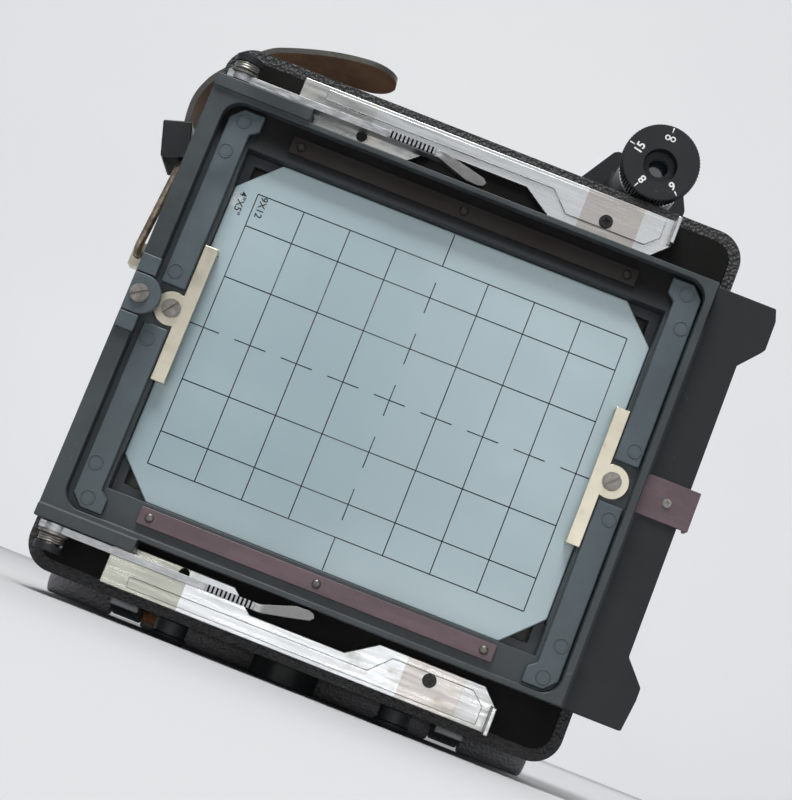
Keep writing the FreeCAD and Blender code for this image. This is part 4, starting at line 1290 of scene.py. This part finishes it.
class PRESSCAMERA_OT_front(Maker, bpy.types.Operator):
    """Finishes the front standard and its lens, and folds the bellows"""

    bl_idname = "press_camera.front"
    bl_label = "Front standard and bellows"
    PLAIN = (
        ("standard_foot", black_enamel, 0.5),
        ("standard_frame", black_enamel, 0.5),
        ("lens_board", black_enamel, 0.4),
        ("shutter_case", black_enamel, 0.7),
        ("lens_barrel", plain_steel, 0.4),
        ("cocking_lever", plain_steel, 0.4),
    )

    def make(self):
        knurled_ring("speed_ring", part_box("speed_ring"), plain_steel, lambda radius: 17.05 * MM, 160)
        for node, bulge in (("front_lens", 1), ("rear_lens", -1)):
            self.glass(node, bulge)
        self.bellows()

    def glass(self, node, bulge):
        """A polished lens, domed on its outer side."""
        low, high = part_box(node)
        centre, radius, deep = (low + high) / 2, (high.x - low.x) / 2, high.y - low.y
        flat, crown = (0, deep) if bulge > 0 else (deep, 0)
        rows = [(flat, 0, 0), (flat, radius, 0)]
        for n in range(1, 8):
            a = n / 8 * math.pi / 2
            rows.append((flat + (crown - flat) * (0.3 + 0.7 * math.sin(a)), radius * math.cos(a), 0))
        rows.append((crown, 0, 0))
        mesh = lathe(bmesh.new(), rows, (centre.x, low.y, centre.z))
        piece(node + "_polished", mesh, clear_glass, node=node, smooth=math.radians(50))

    def bellows(self):
        low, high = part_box("bellows")
        centre, half = (low + high) / 2, (high - low) / 2
        mesh, rings = bmesh.new(), []
        ridge, valley = (0, 5 * MM), (5.5 * MM, 9 * MM)
        last = 2 * sizes().folds
        for n in range(last + 1):
            y = low.y + (high.y - low.y) * n / last
            inset, corner = valley if n % 2 else ridge
            wide, tall = half.x - inset, half.z - inset
            right = [(wide, -tall + corner), (wide, tall - corner), (wide - corner, tall)]
            left = [(-x, z) for x, z in right[::-1]]
            plan = right + left + [(corner - wide, -tall), (wide - corner, -tall)]
            rings.append([mesh.verts.new((centre.x + x, y, centre.z + z)) for x, z in plan])
        for a, b in zip(rings, rings[1:]):
            for n in range(len(a)):
                m = (n + 1) % len(a)
                mesh.faces.new((a[n], a[m], b[m], b[n]))
        bmesh.ops.recalc_face_normals(mesh, faces=mesh.faces)
        bmesh.ops.solidify(mesh, geom=mesh.faces[:], thickness=0.7 * MM)
        data = bpy.data.meshes.new("bellows_folds")
        mesh.to_mesh(data)
        mesh.free()
        data.materials.append(material(bellows_cloth))
        thing = bpy.data.objects.new("bellows_folds", data)
        bpy.context.scene.collection.objects.link(thing)
        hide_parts("bellows")
        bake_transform(thing)


class PRESSCAMERA_PT_panel(bpy.types.Panel):
    """Lists the camera's pieces"""

    bl_label = "Press camera"
    bl_idname = "PRESSCAMERA_PT_panel"
    bl_space_type = "VIEW_3D"
    bl_region_type = "UI"
    bl_category = "Press camera"

    def draw(self, context):
        for operator in OPERATORS:
            self.layout.operator(operator.bl_idname)
        for group in (context.scene.press_camera_sizes, context.scene.press_camera_colours):
            column = self.layout.column(align=True)
            for name in group.__annotations__:
                column.prop(group, name)


OPERATORS = (
    PRESSCAMERA_OT_stage,
    PRESSCAMERA_OT_box,
    PRESSCAMERA_OT_bed,
    PRESSCAMERA_OT_panel,
    PRESSCAMERA_OT_screen,
    PRESSCAMERA_OT_locks,
    PRESSCAMERA_OT_finder,
    PRESSCAMERA_OT_strap,
    PRESSCAMERA_OT_front,
)
CLASSES = (PRESSCAMERA_PG_colours, PRESSCAMERA_PG_sizes, *OPERATORS, PRESSCAMERA_PT_panel)


def register():
    for cls in CLASSES:
        bpy.utils.register_class(cls)
    bpy.types.Scene.press_camera_colours = PointerProperty(type=PRESSCAMERA_PG_colours)
    bpy.types.Scene.press_camera_sizes = PointerProperty(type=PRESSCAMERA_PG_sizes)


def unregister():
    del bpy.types.Scene.press_camera_sizes
    del bpy.types.Scene.press_camera_colours
    for cls in reversed(CLASSES):
        bpy.utils.unregister_class(cls)


def main():
    register()
    for operator in OPERATORS:
        group, name = operator.bl_idname.split(".")
        getattr(getattr(bpy.ops, group), name)()


if __name__ == "__main__":
    main()
